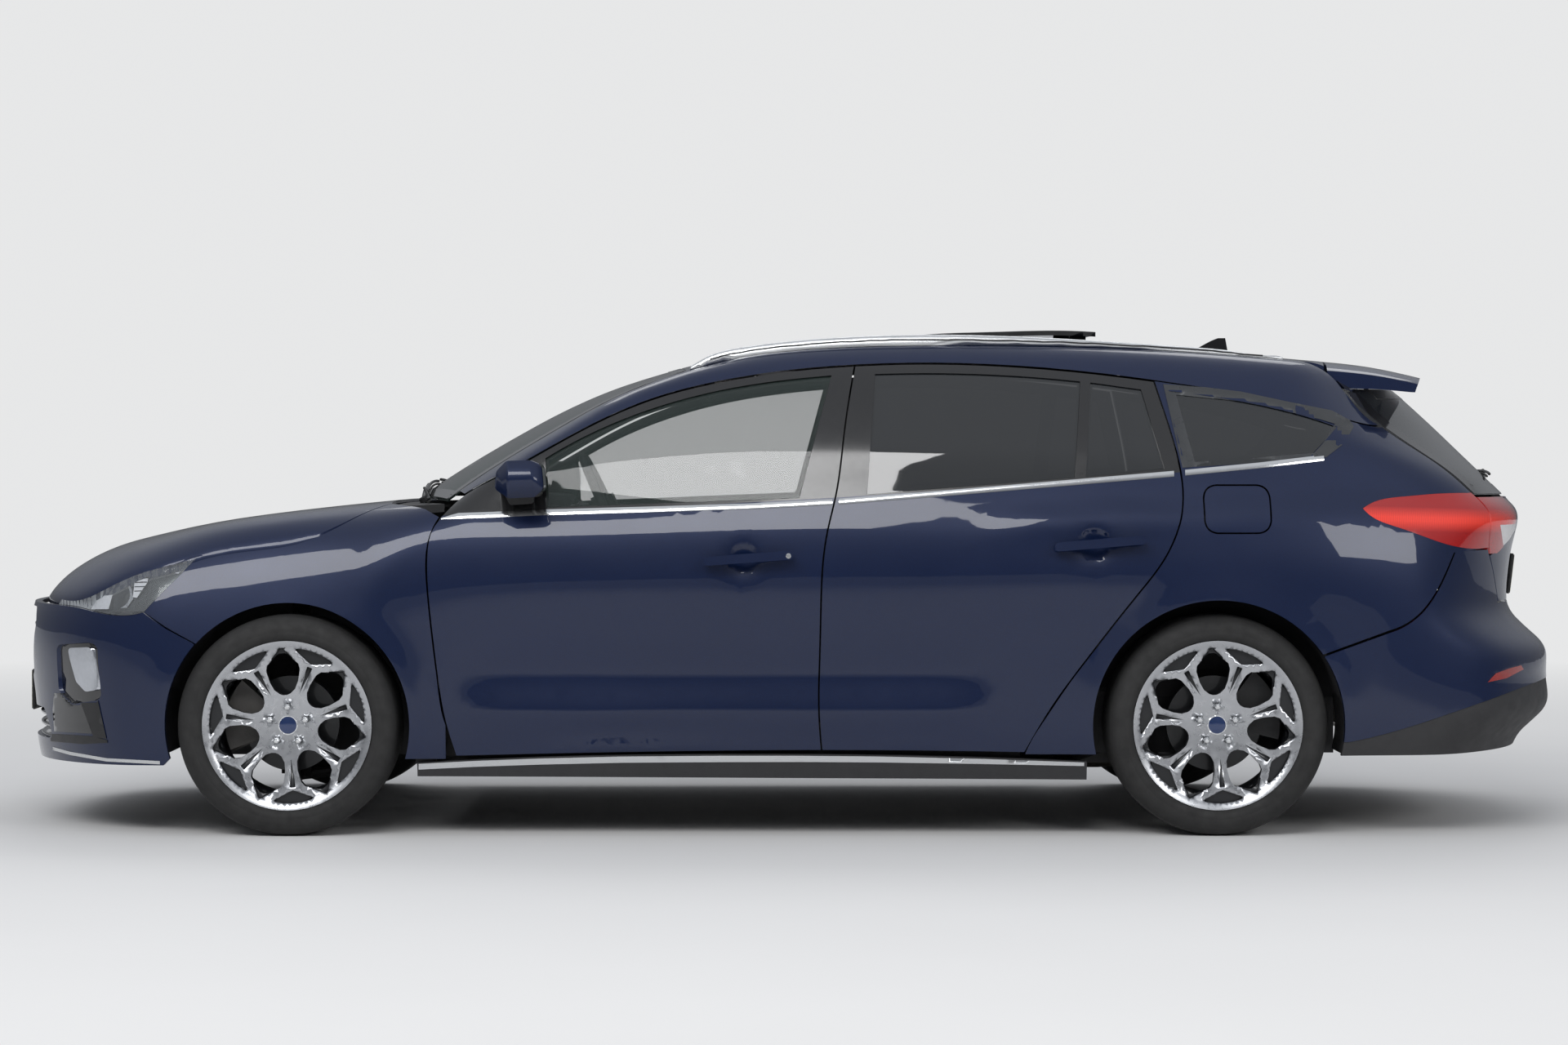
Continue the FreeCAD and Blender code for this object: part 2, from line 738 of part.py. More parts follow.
def with_handle(door, start, end):
    """A door with a bowl in its skin and a grip over it, between two points in the side view."""
    tall, reach = size("grip_height") / 2, size("bowl_radius")
    middle = ((start[0] + end[0]) / 2 - 15, (start[1] + end[1]) / 2)
    radius = reach * 1.6
    centre = side_point(rear_skin, *middle) - Vector(0, math.sqrt(radius ** 2 - reach ** 2), 0)
    door = door.cut(Part.makeSphere(radius, centre))
    span = (start[0] - 40, end[0] + 40, 12)
    rise = (-10, 24, 12)
    corners = [(start[0], start[1] - tall), (end[0], end[1] - tall), (end[0], end[1] + tall),
               (start[0], start[1] + tall)]
    grip = sheet_over(side_rays, span, rise, -size("grip_reach"), -size("grip_reach") + 17)
    grip = grip.common(side_cutter(rounded(corners, tall - 2)))
    foot = sheet_over(side_rays, span, rise, -size("grip_reach") + 6, 4)
    for x, z in ((start[0] + 14, start[1] + 1), (end[0] - 14, end[1] - 1)):
        low, high = z - tall + 3, z + tall - 3
        outline = [(x - 11, low), (x + 11, low), (x + 11, high), (x - 11, high)]
        grip = grip.fuse(foot.common(side_cutter(rounded(outline, 6))))
    return door.fuse(grip)


def make_doors():
    front = door_shell(FRONT_DOOR_LINE, PILLAR_LINE)
    front = front.cut(closed_prism(FRONT_GLASS_OUTLINE, "side", -1000, 700))
    front = with_handle(front, (-241, 800), (19, 819))
    rear = door_shell(PILLAR_LINE, REAR_DOOR_LINE)
    rear = with_handle(rear, (772, 841), (1034, 863))
    for outline in (REAR_GLASS_OUTLINE, REAR_PANE_OUTLINE):
        rear = rear.cut(closed_prism(outline, "side", -1000, 700))
    front_glass = glass_pane(FRONT_GLASS_OUTLINE, (-740, 160, 24), (17, 54, 20))
    rear_glass = Part.makeCompound([
        glass_pane(REAR_GLASS_OUTLINE, (200, 900, 16), (18, 54, 20)),
        glass_pane(REAR_PANE_OUTLINE, (840, 1130, 8), (20, 54, 20))])
    for name, shape in (("front_door", front), ("front_door_glass", front_glass),
                        ("rear_door", rear), ("rear_door_glass", rear_glass)):
        add_shape(f"{name}_left", shape)
        add_shape(f"{name}_right", mirrored(shape))


def arch(axle, radius, start, end):
    return arc((axle, WHEEL_Z), radius, start, end, 12)


def sheet_over(rays, span, rise, outer, inner):
    """Slab under the skin over a rectangle of a family's parameters, to be trimmed."""
    def grid(depth):
        return [[rays.point(span[0] + (span[1] - span[0]) * i / (span[2] - 1),
                            rise[0] + (rise[1] - rise[0]) * j / (rise[2] - 1), depth)
                 for j in range(rise[2])] for i in range(span[2])]
    return slab(grid(outer), grid(inner))


def side_cutter(runs, inner=-250, outer=-1050):
    """Prism over a side view outline, on the left of the car."""
    return closed_prism(runs, "side", outer, inner - outer)


def fewer(points, count=9):
    """A long run of points thinned to a few."""
    return [tuple(p) for p in spaced(points, count)]


def make_fenders():
    radius = size("front_arch_radius")
    low = math.degrees(math.asin((226 - WHEEL_Z) / radius))
    high = 180 - math.degrees(math.asin((560 - WHEEL_Z) / radius))
    foot = arch(FRONT_AXLE, radius, high, low)
    door = [p for p in moved(FRONT_DOOR_LINE, GAP / 2) if p[1] > foot[-1][1] + 2]
    door = [(door[0][0] - 1, foot[-1][1])] + fewer(door, 8)
    lamp = fewer(moved(LAMP_REAR, -SEAM), 6)
    tip = (-1168, 1010)
    outline = [foot, [foot[-1], door[0]], door, [door[-1], tip], [tip, (-1725, 1010)],
               [(-1725, 1010), lamp[-1]], lamp[::-1], [lamp[0], (-1802, 606)],
               [(-1802, 606), foot[0]]]
    skin = sheet_over(fender_rays, (-1890, -990, 26), (-28, 72, 26), 0, size("panel_depth"))
    shape = skin.common(side_cutter(outline))
    crest = fewer([(x, y - GAP) for x, y in BONNET_SIDE], 9)
    inboard = [[(-1900, crest[0][1]), crest[0]], crest, [crest[-1], (-1112, -772)],
               [(-1112, -772), (-1020, -846)], [(-1020, -846), (-900, -846)],
               [(-900, -846), (-900, -300)], [(-900, -300), (-1900, -300)],
               [(-1900, -300), (-1900, crest[0][1])]]
    shape = shape.cut(closed_prism(inboard, "plan", 500, 600))
    add_shape("front_fenders", both_sides(shape))


def make_bonnet():
    side = [(x, y + 0) for x, y in BONNET_SIDE]
    front = BONNET_FRONT + [(x, -y) for x, y in BONNET_FRONT[-2::-1]]
    rear = BONNET_REAR + [(x, -y) for x, y in BONNET_REAR[-2::-1]]
    right = [(x, -y) for x, y in side]
    edges = [on_plan(front_skin, e) for e in (front, right, rear, side)]
    add_shape("bonnet", panel(PlanRays(front_skin), edges, 0, size("panel_depth"), 41, 20))
    return panel(PlanRays(front_skin), edges, -3, size("panel_depth") + GAP, 41, 20)


def make_roof():
    edge = [(x, -y) for x, y in ROOF_EDGE]
    low = crossing(edge, extended(SCREEN_HEAD))[0]
    side = piece_between(edge, low, len(edge) - 1.001)
    front = SCREEN_HEAD
    head = [(x + SEAM, y) for x, y in front]
    head[0] = side[0]
    front_all = head + [(x, -y) for x, y in head[-2::-1]]
    back = curve(side[-1], (1622, -300), (1630, 0))
    back_all = back + [(x, -y) for x, y in back[-2::-1]]
    right = [(x, -y) for x, y in side]
    edges = [on_plan(rear_skin, e) for e in (front_all, right, back_all, side)]
    roof = panel(PlanRays(rear_skin), edges, 0, size("roof_depth"), 24, 30)
    half = size("sunroof_half_width")
    corners = [(size("sunroof_front"), -half), (size("sunroof_rear"), -half),
               (size("sunroof_rear"), half), (size("sunroof_front"), half)]
    add_shape("roof", roof.cut(closed_prism(rounded(corners, 60), "plan", 1200, 500)))
    screen_side = piece_between(edge, crossing(edge, extended(SCREEN_FOOT))[0], low)
    foot = [(x, y) for x, y in SCREEN_FOOT]
    foot[0] = screen_side[0]
    foot_all = foot + [(x, -y) for x, y in foot[-2::-1]]
    top = [(x, y) for x, y in SCREEN_HEAD]
    top[0] = screen_side[-1]
    top_all = top + [(x, -y) for x, y in top[-2::-1]]
    edges = [on_plan(rear_skin, e) for e in
             (foot_all, [(x, -y) for x, y in screen_side], top_all, screen_side)]
    add_shape("windscreen", panel(PlanRays(rear_skin), edges, 0.5, 7, 25, 20))


def gate_side_view(offset):
    """The tailgate's side edge as seen from the side, from the top down."""
    return [(p.x, p.z) for p in (tail_point(y + offset, z) for y, z in GATE_SIDE)]


def gate_opening():
    """What the tailgate needs to close, seen from behind and grown by the shut gap."""
    side = fewer([(y - GAP / 2, z) for y, z in GATE_SIDE], 14)
    runs = [side, [side[-1], (-100, side[-1][1])], [(-100, side[-1][1]), (-100, side[0][1])],
            [(-100, side[0][1]), side[0]]]
    return end_cutter(runs, 1560, 900)


def make_roof_sides():
    skin = sheet_over(pillar_rays, (-1060, 1800, 56), (2, 80, 18), 0, size("panel_depth"))
    gate = [p for p in gate_side_view(-GAP) if p[1] > 1190]
    rise = GAP / 2 + 1.5
    lower = fewer([p for p in CANT_LINE if p[0] < gate[-1][0] - 4], 40)
    outline = [[(x, z + rise) for x, z in lower], [(lower[-1][0], lower[-1][1] + rise), gate[-1]],
               fewer(gate[::-1], 5), [gate[0], (gate[0][0], 1500)],
               [(gate[0][0], 1500), (-1045, 1500)], [(-1045, 1500), (-1045, 925)],
               [(-1045, 925), (lower[0][0], lower[0][1] + rise)]]
    shape = skin.common(side_cutter(outline, -300))
    edge = fewer([(x, y + SEAM) for x, y in ROOF_EDGE], 40)
    inboard = [edge, [edge[-1], (1900, edge[-1][1])], [(1900, edge[-1][1]), (1900, 100)],
               [(1900, 100), (-1100, 100)], [(-1100, 100), (-1100, edge[0][1])],
               [(-1100, edge[0][1]), edge[0]]]
    inboard = [[(x, -y) for x, y in run] for run in inboard]
    shape = shape.cut(closed_prism(inboard, "plan", 800, 800))
    corner = [(-1070, 860), (-1000, 860), (-930, 985), (-972, 1000), (-1070, 925)]
    shape = shape.cut(side_cutter(polygon([(x, z + GAP) for x, z in corner]), -600))
    shape = shape.cut(gate_opening())
    add_shape("roof_sides", both_sides(largest(shape)))


def make_quarters():
    radius = size("rear_arch_radius")
    foot_z = 240
    low = 180 - math.degrees(math.asin((foot_z - WHEEL_Z) / radius))
    high = math.degrees(math.asin((530 - WHEEL_Z) / radius))
    foot = arch(REAR_AXLE, radius, low, high)
    door = [p for p in moved(REAR_DOOR_LINE, -GAP / 2) if foot_z + 4 < p[1]]
    gate = [p for p in gate_side_view(-GAP) if 830 < p[1] < 1190]
    head = [p for p in CANT_LINE if door[-1][0] + 3 < p[0] < gate[0][0] - 12]
    door = [(door[0][0] - 2, foot_z)] + fewer(door, 12)
    head = fewer(head, 8)
    outline = [[door[0], foot[0]], foot, [foot[-1], (1745, 599)],
               [(1745, 599), (1848, 660), (1909, 744), (1950, 822)],
               [(1950, 822), gate[-1]], fewer(gate[::-1], 6), [gate[0], head[-1]], head[::-1],
               [head[0], door[-1]], door[::-1]]
    skin = sheet_over(tail_rays, (-36, 62, 34), (225, 1345, 34), 0, size("panel_depth") * 1.6)
    shape = skin.common(side_cutter(outline))
    for hole in (QUARTER_GLASS_OUTLINE, TAIL_LAMP_OUTLINE):
        shape = shape.cut(side_cutter(hole))
    shape = largest(shape.cut(gate_opening()))
    # Only the left side has a fuel flap.
    flapped = largest(shape.cut(side_cutter(rounded(FUEL_FLAP_CORNERS, 40))))
    add_shape("quarter_panels", Part.makeCompound([flapped, mirrored(shape)]))


def end_cutter(runs, start, length):
    """Prism over an outline seen from an end, Y and Z."""
    return closed_prism(runs, "end", start, length)


def polygon(points):
    return [[a, b] for a, b in zip(points, points[1:] + points[:1])]


def make_nose(bonnet_space):
    skin = sheet_over(nose_rays, (-14, 194, 66), (188, 700, 22), 0, size("panel_depth"))
    radius = size("front_arch_radius")
    low = 180 - math.degrees(math.asin((225 - WHEEL_Z) / radius))
    high = 180 - math.degrees(math.asin((556 - WHEEL_Z) / radius))
    wheel = arch(FRONT_AXLE, radius, low, high)
    top = [(wheel[-1][0] - SEAM, 560), (-1802, 602), (-1872, 648 - SEAM)]
    foot = [(x, z - SEAM) for x, z in FRONT_LAMP_FOOT]
    outline = [wheel, [wheel[-1], top[0]], [top[0], top[1]], [top[1], foot[-1]],
               foot[::-1], [foot[0], (-2400, 668)], [(-2400, 668), (-2400, 196)],
               [(-2400, 196), (wheel[0][0] - 20, 205)], [(wheel[0][0] - 20, 205), wheel[0]]]
    body = skin.common(closed_prism(outline, "side", -1100, 2200))
    grille = [(-455, 652), (-492, 606), (-420, 452), (-300, 425)]
    grille = grille[::-1] + [(-a, b) for a, b in grille]
    grille = [(-a, b) for a, b in grille]
    intake = [(-520, 352), (-600, 262), (600, 262), (520, 352)]
    for corners, turn in ((grille, 24), (intake, 26)):
        body = body.cut(end_cutter(rounded(corners, turn), -2400, 500))
    pocket = [(-800, 560), (-652, 545), (-640, 408), (-700, 372), (-800, 392)]
    for sign in (1, -1):
        corners = [(sign * y, z) for y, z in pocket]
        body = body.cut(end_cutter(rounded(corners, 22), -2400, 560))
    add_shape("front_bumper", body)

    def ribbed(depths, span, rise, outline, turn):
        """A grille: level bars standing out of a back plate, one closed solid."""
        bars = depths[0]
        rows = bars * 6 + 1
        def depth(row):
            return 14 if row % 6 in (1, 2) else (14 + 26 if row % 6 in (4, 5) else 27)
        grid, back = [], []
        for i in range(span[2]):
            angle = span[0] + (span[1] - span[0]) * i / (span[2] - 1)
            heights = [rise[0] + (rise[1] - rise[0]) * j / (rows - 1) for j in range(rows)]
            grid.append([nose_rays.point(angle, z, depth(j)) for j, z in enumerate(heights)])
            back.append([nose_rays.point(angle, z, 52) for z in heights])
        return slab(grid, back).common(end_cutter(rounded(outline, turn), -2400, 500))
    tight = shrunk(polygon(grille), FIT)
    upper = ribbed((7, 425, 652), (48, 132, 22), (420, 656), [run[0] for run in tight], 24)
    tight = shrunk(polygon(intake), FIT)
    lower = ribbed((3, 262, 352), (42, 138, 24), (258, 356), [run[0] for run in tight], 26)
    upper = largest(upper.cut(bonnet_space))
    pockets = []
    shell = sheet_over(nose_rays, (15, 62, 14), (360, 570, 8), 12, 44)
    for sign in (1, -1):
        corners = [(sign * y, z) for y, z in pocket]
        tight = shrunk(polygon(corners), FIT)
        side = shell if sign == 1 else mirrored(shell)
        pockets.append(side.common(end_cutter(rounded([r[0] for r in tight], 22), -2400, 560)))
    add_shape("grilles", Part.makeCompound([upper, lower] + pockets))
    lamps = []
    bulge = sheet_over(nose_rays, (20, 58, 12), (380, 560, 8), 2, 11.6)
    lens = [(-782, 545), (-700, 538), (-706, 505), (-722, 440), (-752, 412), (-790, 420)]
    lens = end_cutter(rounded(lens, 12), -2400, 560)
    lamps.append(bulge.common(lens))
    return lamps


def make_head_lamps(bonnet_space):
    skin = sheet_over(lamp_rays, (4, 66, 26), (600, 860, 18), 0, size("lamp_depth"))
    foot = [(x, z) for x, z in FRONT_LAMP_FOOT]
    rear = fewer(LAMP_REAR, 6)
    outline = [foot, [foot[-1], rear[0]], rear, [rear[-1], (-1713, 900)],
               [(-1713, 900), (-2300, 900)], [(-2300, 900), (-2300, foot[0][1])],
               [(-2300, foot[0][1]), foot[0]]]
    shape = skin.common(side_cutter(outline, -560))
    edge = fewer([p for p in moved(BONNET_FRONT, -GAP) if p[1] < -420], 10)
    start = (-1680, edge[0][1] - 1)
    inboard = [[start, edge[0]], edge, [edge[-1], (edge[-1][0], -100)],
               [(edge[-1][0], -100), (-1680, -100)], [(-1680, -100), start]]
    shape = shape.cut(closed_prism(inboard, "plan", 300, 700))
    return largest(shape.cut(bonnet_space))


def make_tail():
    # Bumper, valance and the body's part of the tail lamps.
    skin = sheet_over(tail_low_rays, (-10, 190, 70), (215, 850, 30), 0, size("panel_depth"))
    radius = size("rear_arch_radius")
    high = math.degrees(math.asin((524 - WHEEL_Z) / radius))
    low = math.degrees(math.asin((276 - WHEEL_Z) / radius))
    wheel = arch(REAR_AXLE, radius, high, low)
    below = [(1626, 276), (1760, 306), (1955, 366), (2085, 404), (2420, 430)]
    side = [(1748, 592), (1852, 656), (1914, 742), (1957, 826)]
    outline = [wheel, [wheel[-1], below[0]], below, [below[-1], (2420, 832)],
               [(2420, 832), side[-1]], side[::-1], [side[0], wheel[0]]]
    body = skin.common(closed_prism(outline, "side", -1100, 2200))
    gate_low = [(-690, 900), (-660, 830), (-600, 745), (-566, 684)]
    runs = [gate_low, [gate_low[-1], (-540, 668)], [(-540, 668), (540, 668)],
            [(540, 668), (566, 684)], [(-y, z) for y, z in gate_low[::-1]],
            [(690, 900), (-690, 900)]]
    body = body.cut(end_cutter(runs, 1900, 600))
    for side in shape_of("quarter_panels").Solids:
        body = body.cut(side)
    side = fewer([(y - GAP / 2, z) for y, z in GATE_SIDE if z < 900], 9)
    foot = (side[-1][0] - 2, 667)
    opening = [side, [side[-1], foot], [foot, (-foot[0], foot[1])],
               [(-foot[0], foot[1]), (-side[-1][0], side[-1][1])],
               [(-y, z) for y, z in side[::-1]], [(-side[0][0], side[0][1]), side[0]]]
    body = body.cut(end_cutter(opening, 1900, 600))
    add_shape("rear_bumper", largest(body))
    under = [(x, z - FIT) for x, z in below]
    low_z = 236
    low = math.degrees(math.asin((low_z - WHEEL_Z) / radius))
    wheel = arch(REAR_AXLE, radius, math.degrees(math.asin((275 - WHEEL_Z) / radius)), low)
    outline = [wheel, [wheel[-1], (2420, low_z)], [(2420, low_z), under[-1]], under[::-1],
               [under[0], wheel[0]]]
    deep = sheet_over(tail_low_rays, (-10, 190, 70), (215, 450, 12), 2, size("panel_depth") + 2)
    valance = deep.common(closed_prism(outline, "side", -1100, 2200))

    lamp = sheet_over(tail_rays, (10, 66, 22), (815, 1010, 12), 0, size("lamp_depth"))
    outline = shrunk(TAIL_LAMP_OUTLINE, SEAM / 2)
    lamp = lamp.common(side_cutter(outline, -400))
    split = [(y, z) for y, z in GATE_SIDE if 800 < z < 1040]
    outer = [(y - GAP / 2, z) for y, z in split]
    inner = [(y + GAP / 2, z) for y, z in split]
    keep_out = [outer, [outer[-1], (-100, outer[-1][1])],
                [(-100, outer[-1][1]), (-100, outer[0][1])], [(-100, outer[0][1]), outer[0]]]
    body_lamp = lamp.cut(end_cutter(keep_out, 1500, 900))
    # The tailgate's part, with the plain reflector side beyond it.
    face = sheet_over(EndRays(rear_skin, 1500, 1), (-700, -300, 14), (815, 1010, 10), 0, 40)
    inner = [(y, z) for y, z in inner if z < 984]
    share = [inner, [inner[-1], (-420, 880)], [(-420, 880), (-440, 983)],
             [(-440, 983), (inner[0][0], 983)], [(inner[0][0], 983), inner[0]]]
    gate_lamp = face.common(end_cutter(share, 1500, 900))
    return valance, body_lamp, gate_lamp


def make_gate(gate_lamp):
    rear = GateRays(rear_skin, 1300, 1)
    left = [(y + GAP / 2, z) for y, z in GATE_SIDE if z <= 985]
    left = fewer(left, 9)
    foot = (left[-1][0] + 4, 672)
    low = sheet_over(rear, (-700, 700, 30), (655, 1000, 16), 0, 42)
    runs = [[(-foot[0], foot[1]), foot], [foot, left[-1]], left[::-1], [left[0], (-left[0][0], left[0][1])],
            [(-y, z) for y, z in left], [(-left[-1][0], left[-1][1]), (-foot[0], foot[1])]]
    panel_low = low.common(end_cutter(runs, 1700, 900))
    # Lamp seats and the plate's recess.
    split = [(y, z) for y, z in GATE_SIDE if 800 < z < 1040]
    inner = [(y - 40, z + (1 if z > 900 else -2)) for y, z in split]
    share = [inner, [inner[-1], (-416, 876)], [(-416, 876), (-437, 985.5)],
             [(-437, 985.5), inner[0]]]
    for sign in (1, -1):
        cutter = end_cutter([[(sign * y, z) for y, z in run] for run in share], 1500, 900)
        panel_low = panel_low.cut(cutter)
    add_shape("tailgate_panel", panel_low)
    high = sheet_over(rear, (-700, 700, 30), (960, 1330, 16), 7, 44)
    left = [(y + GAP / 2, z) for y, z in GATE_SIDE if 985 <= z <= 1310]
    left = fewer(left, 9)
    top = left[0][1]
    runs = [[(left[0][0], top), (-left[0][0], top)], [(-y, z) for y, z in left],
            [(-left[-1][0], left[-1][1]), left[-1]], left[::-1]]
    frame = high.common(end_cutter(runs, 1400, 900))
    hole = [(-505, 1262), (505, 1262), (560, 1010), (-560, 1010)]
    frame = frame.cut(end_cutter(rounded(hole, 50), 1300, 1100))
    add_shape("tailgate_frame", frame)
    pane = sheet_over(rear, (-700, 700, 30), (960, 1330, 16), 0.5, 6.5)
    add_shape("tailgate_glass", pane.common(end_cutter(runs, 1400, 900)))
    # Roof spoiler over the glass.
    columns, rows = 22, 14
    top_grid, low_grid = [], []
    for i in range(columns):
        y = -560 + 1120 * i / (columns - 1)
        first = ROOF_EDGE[-1][0] + 26 - 26 * (abs(y) / 560) ** 2 + GAP + 3
        last = 1943 - 60 * (abs(y) / 560) ** 2.5
        top_row, low_row = [], []
        for j in range(rows):
            x = first + (last - first) * j / (rows - 1)
            share = j / (rows - 1)
            side = smooth_step((560 - abs(y)) / 70)
            z = roof_height(x, y) - 10 * (1 - side) - 12 * (abs(y) / 560) ** 6
            wall = 24.6 + 52 * (1 - share) ** 0.8 * (0.55 + 0.45 * side)
            top_row.append(Vector(x, y, z))
            low_row.append(Vector(x - 8 * share, y, z - wall))
        top_grid.append(top_row)
        low_grid.append(low_row)
    add_shape("spoiler", slab(top_grid, low_grid))
    gate_lamp = largest(gate_lamp.cut(shape_of("tailgate_panel")).cut(shape_of("tailgate_frame")))
    add_shape("tail_lamps_gate", both_sides(gate_lamp))


def add_roof_hinges():
    """Hinge blocks under the roof's rear edge that carry the tailgate."""
    roof = next(node for node in nodes if node.Label == "roof")
    shape = roof.Shape
    for sign in (-1, 1):
        top = roof_height(1600, sign * 350) - 12
        block = Part.makeBox(60, 40, 44, Vector(1580, sign * 350 - 20, top - 44))
        shape = shape.fuse(seated(block, shape_of("spoiler"), (-FIT, 0, 0)))
    roof.Shape = shape


def bound(item, **formulas):
    """Bind an object's properties to the sheet."""
    for name, formula in formulas.items():
        item.setExpression(name, formula)
    return item


def keep(item, label):
    """List an object of the document as a sub-part with its label."""
    item.Label = label
    nodes.append(item)
    return item


def make_rails_and_roof_items():
    top = Spline([(-293, 1369), (-230, 1404), (-137, 1428), (0, 1446), (140, 1457), (412, 1466),
                  (697, 1460), (1009, 1443), (1201, 1430), (1344, 1416), (1422, 1398), (1482, 1373)])
    edge = Spline([(-300, 606), (0, 596), (400, 592), (900, 584), (1300, 566), (1500, 552)])
    half = size("rail_width") / 2
    outer, inner = [], []
    for i in range(34):
        x = -288 + (1478 + 288) * i / 33
        row, low = [], []
        for k in range(7):
            across = (k - 3) / 3
            y = -(edge(x) + half * across)
            crown = 7 * abs(across) ** 3
            high = top(x) - crown
            base = plan_point(rear_skin, x, y).z + 0.5
            row.append(Vector(x, y, max(high, base + 6)))
            low.append(Vector(x, y, max(base, min(high, top(x)) - 42 + 2 * crown)))
        outer.append(row)
        inner.append(low)
    add_shape("roof_rails", both_sides(slab(outer, inner)))
    # The sunroof's glass stands open, raised over the roof behind its hole, on two arms.
    half = size("sunroof_half_width") - 10
    rise = Spline([(330, 1473), (440, 1484), (600, 1490), (900, 1493), (935, 1491)])
    columns = 16
    upper = [[Vector(330 + 605 * i / (columns - 1), half * (j - 5) / 5,
                     rise(330 + 605 * i / (columns - 1)) - 10 * ((j - 5) / 5) ** 2)
              for j in range(11)] for i in range(columns)]
    wall = size("sunroof_glass_wall")
    lower = [[p - Vector(0, 0, wall) for p in row] for row in upper]
    pane = slab(upper, lower)
    arms = []
    for sign in (-1, 1):
        for x in (480, 860):
            y = sign * (half - 60)
            base = plan_point(rear_skin, x, y).z
            arms.append(Part.makeBox(50, 12, rise(x) - wall - 4 - base,
                                     Vector(x, y - 6, base + 0.3)))
    for arm in arms:
        pane = pane.fuse(arm.common(Part.makeBox(2000, 2000, 40, Vector(-500, -1000, 1430 + 8))))
    add_shape("sunroof_glass", pane)
    fin = closed_prism([[(1268, 1434.6), (1300, 1451), (1330, 1467), (1352, 1476)],
                        [(1352, 1476), (1374, 1476)], [(1374, 1476), (1384, 1421.6)],
                        [(1384, 1421.6), (1268, 1434.6)]], "side", -14, 28)
    add_shape("antenna", fin)


def make_sills_and_posts():
    # Sill boxes with the front posts, the centre posts, and the trims below the doors.
    inner = size("sill_inner_at")
    section = [(-(inner), 176), (-(inner), 330), (-(inner + 72), 330), (-(inner + 72), 226),
               (-(inner + 96), 226), (-(inner + 96), 176)]
    sill = closed_prism(polygon(section), "end", -1020, 1700)
    front_post = closed_prism(polygon([(-1024, 228), (-964, 228), (-980, 840), (-1024, 840)]),
                              "side", -(inner + 58), 58)
    body = sill.fuse(front_post)
    # Hinge blocks that carry the front door at its inner face.
    for z in (430, 710):
        block = Part.makeBox(34, 110, 44, Vector(-1012, -(inner + 150), z))
        body = body.fuse(seated(block.cut(Part.makeBox(40, 60, 50, Vector(-1015, -960, z - 3))),
                                shape_of("front_door_left"), (0, 3 * FIT, 0)))
    strip = sill_strip()
    for x in (-800, -100, 560):
        block = Part.makeBox(60, 70, 24, Vector(x, -(inner + 130), 186))
        body = body.fuse(largest(block.cut(strip)))
    body = body.removeSplitter()
    fender = next(s for s in shape_of("front_fenders").Solids if s.BoundBox.YMin < -300)
    for back in (0, 1.2):
        shifted = fender.copy()
        shifted.translate(Vector(back, back, 0))
        body = largest(body.cut(shifted))
    add_shape("sills", both_sides(body))
    low, high = size("door_depth") + 10, size("frame_depth") + 8

    def face(point, wall):
        share = smooth_step((point.z - BELT_START + 20) / (BELT_RAMP + 40))
        return low + wall + (high - low) * share
    rays = SideRays(rear_skin, 150, 700)
    outer, back = [], []
    for i in range(6):
        column, behind = [], []
        for j in range(22):
            angle = -40 + (86) * j / 21
            surface = rays.point(70 + 24 * i, angle, 0)
            column.append(rays.point(70 + 24 * i + max(surface.z - 900, 0) * 0.1, angle,
                                     face(surface, 0)))
            behind.append(rays.point(70 + 24 * i + max(surface.z - 900, 0) * 0.1, angle,
                                     face(surface, 42)))
        outer.append(column)
        back.append(behind)
    post = slab(outer, back)
    post = post.common(Part.makeBox(400, 1000, 1345 - 330.3, Vector(0, -1000, 330.3)))
    for z in (430, 740):
        block = Part.makeBox(34, 70, 44, Vector(112, -870, z))
        post = post.fuse(seated(block, shape_of("rear_door_left"), (0, FIT, 0)))
    add_shape("centre_posts", both_sides(post))
    return strip


def sill_strip():
    """The trim below the left doors."""
    strip = [(-1072, 214), (-700, 232), (-200, 240), (300, 237), (868, 219)]
    outline = [strip, [strip[-1], (868, 166)], [(868, 166), (-1072, 175)], [(-1072, 175), strip[0]]]
    skin = sheet_over(SideRays(tail_skin, 500, 330), (-1090, 880, 20), (-28, 0, 8), -4, 34)
    return skin.common(side_cutter(outline))


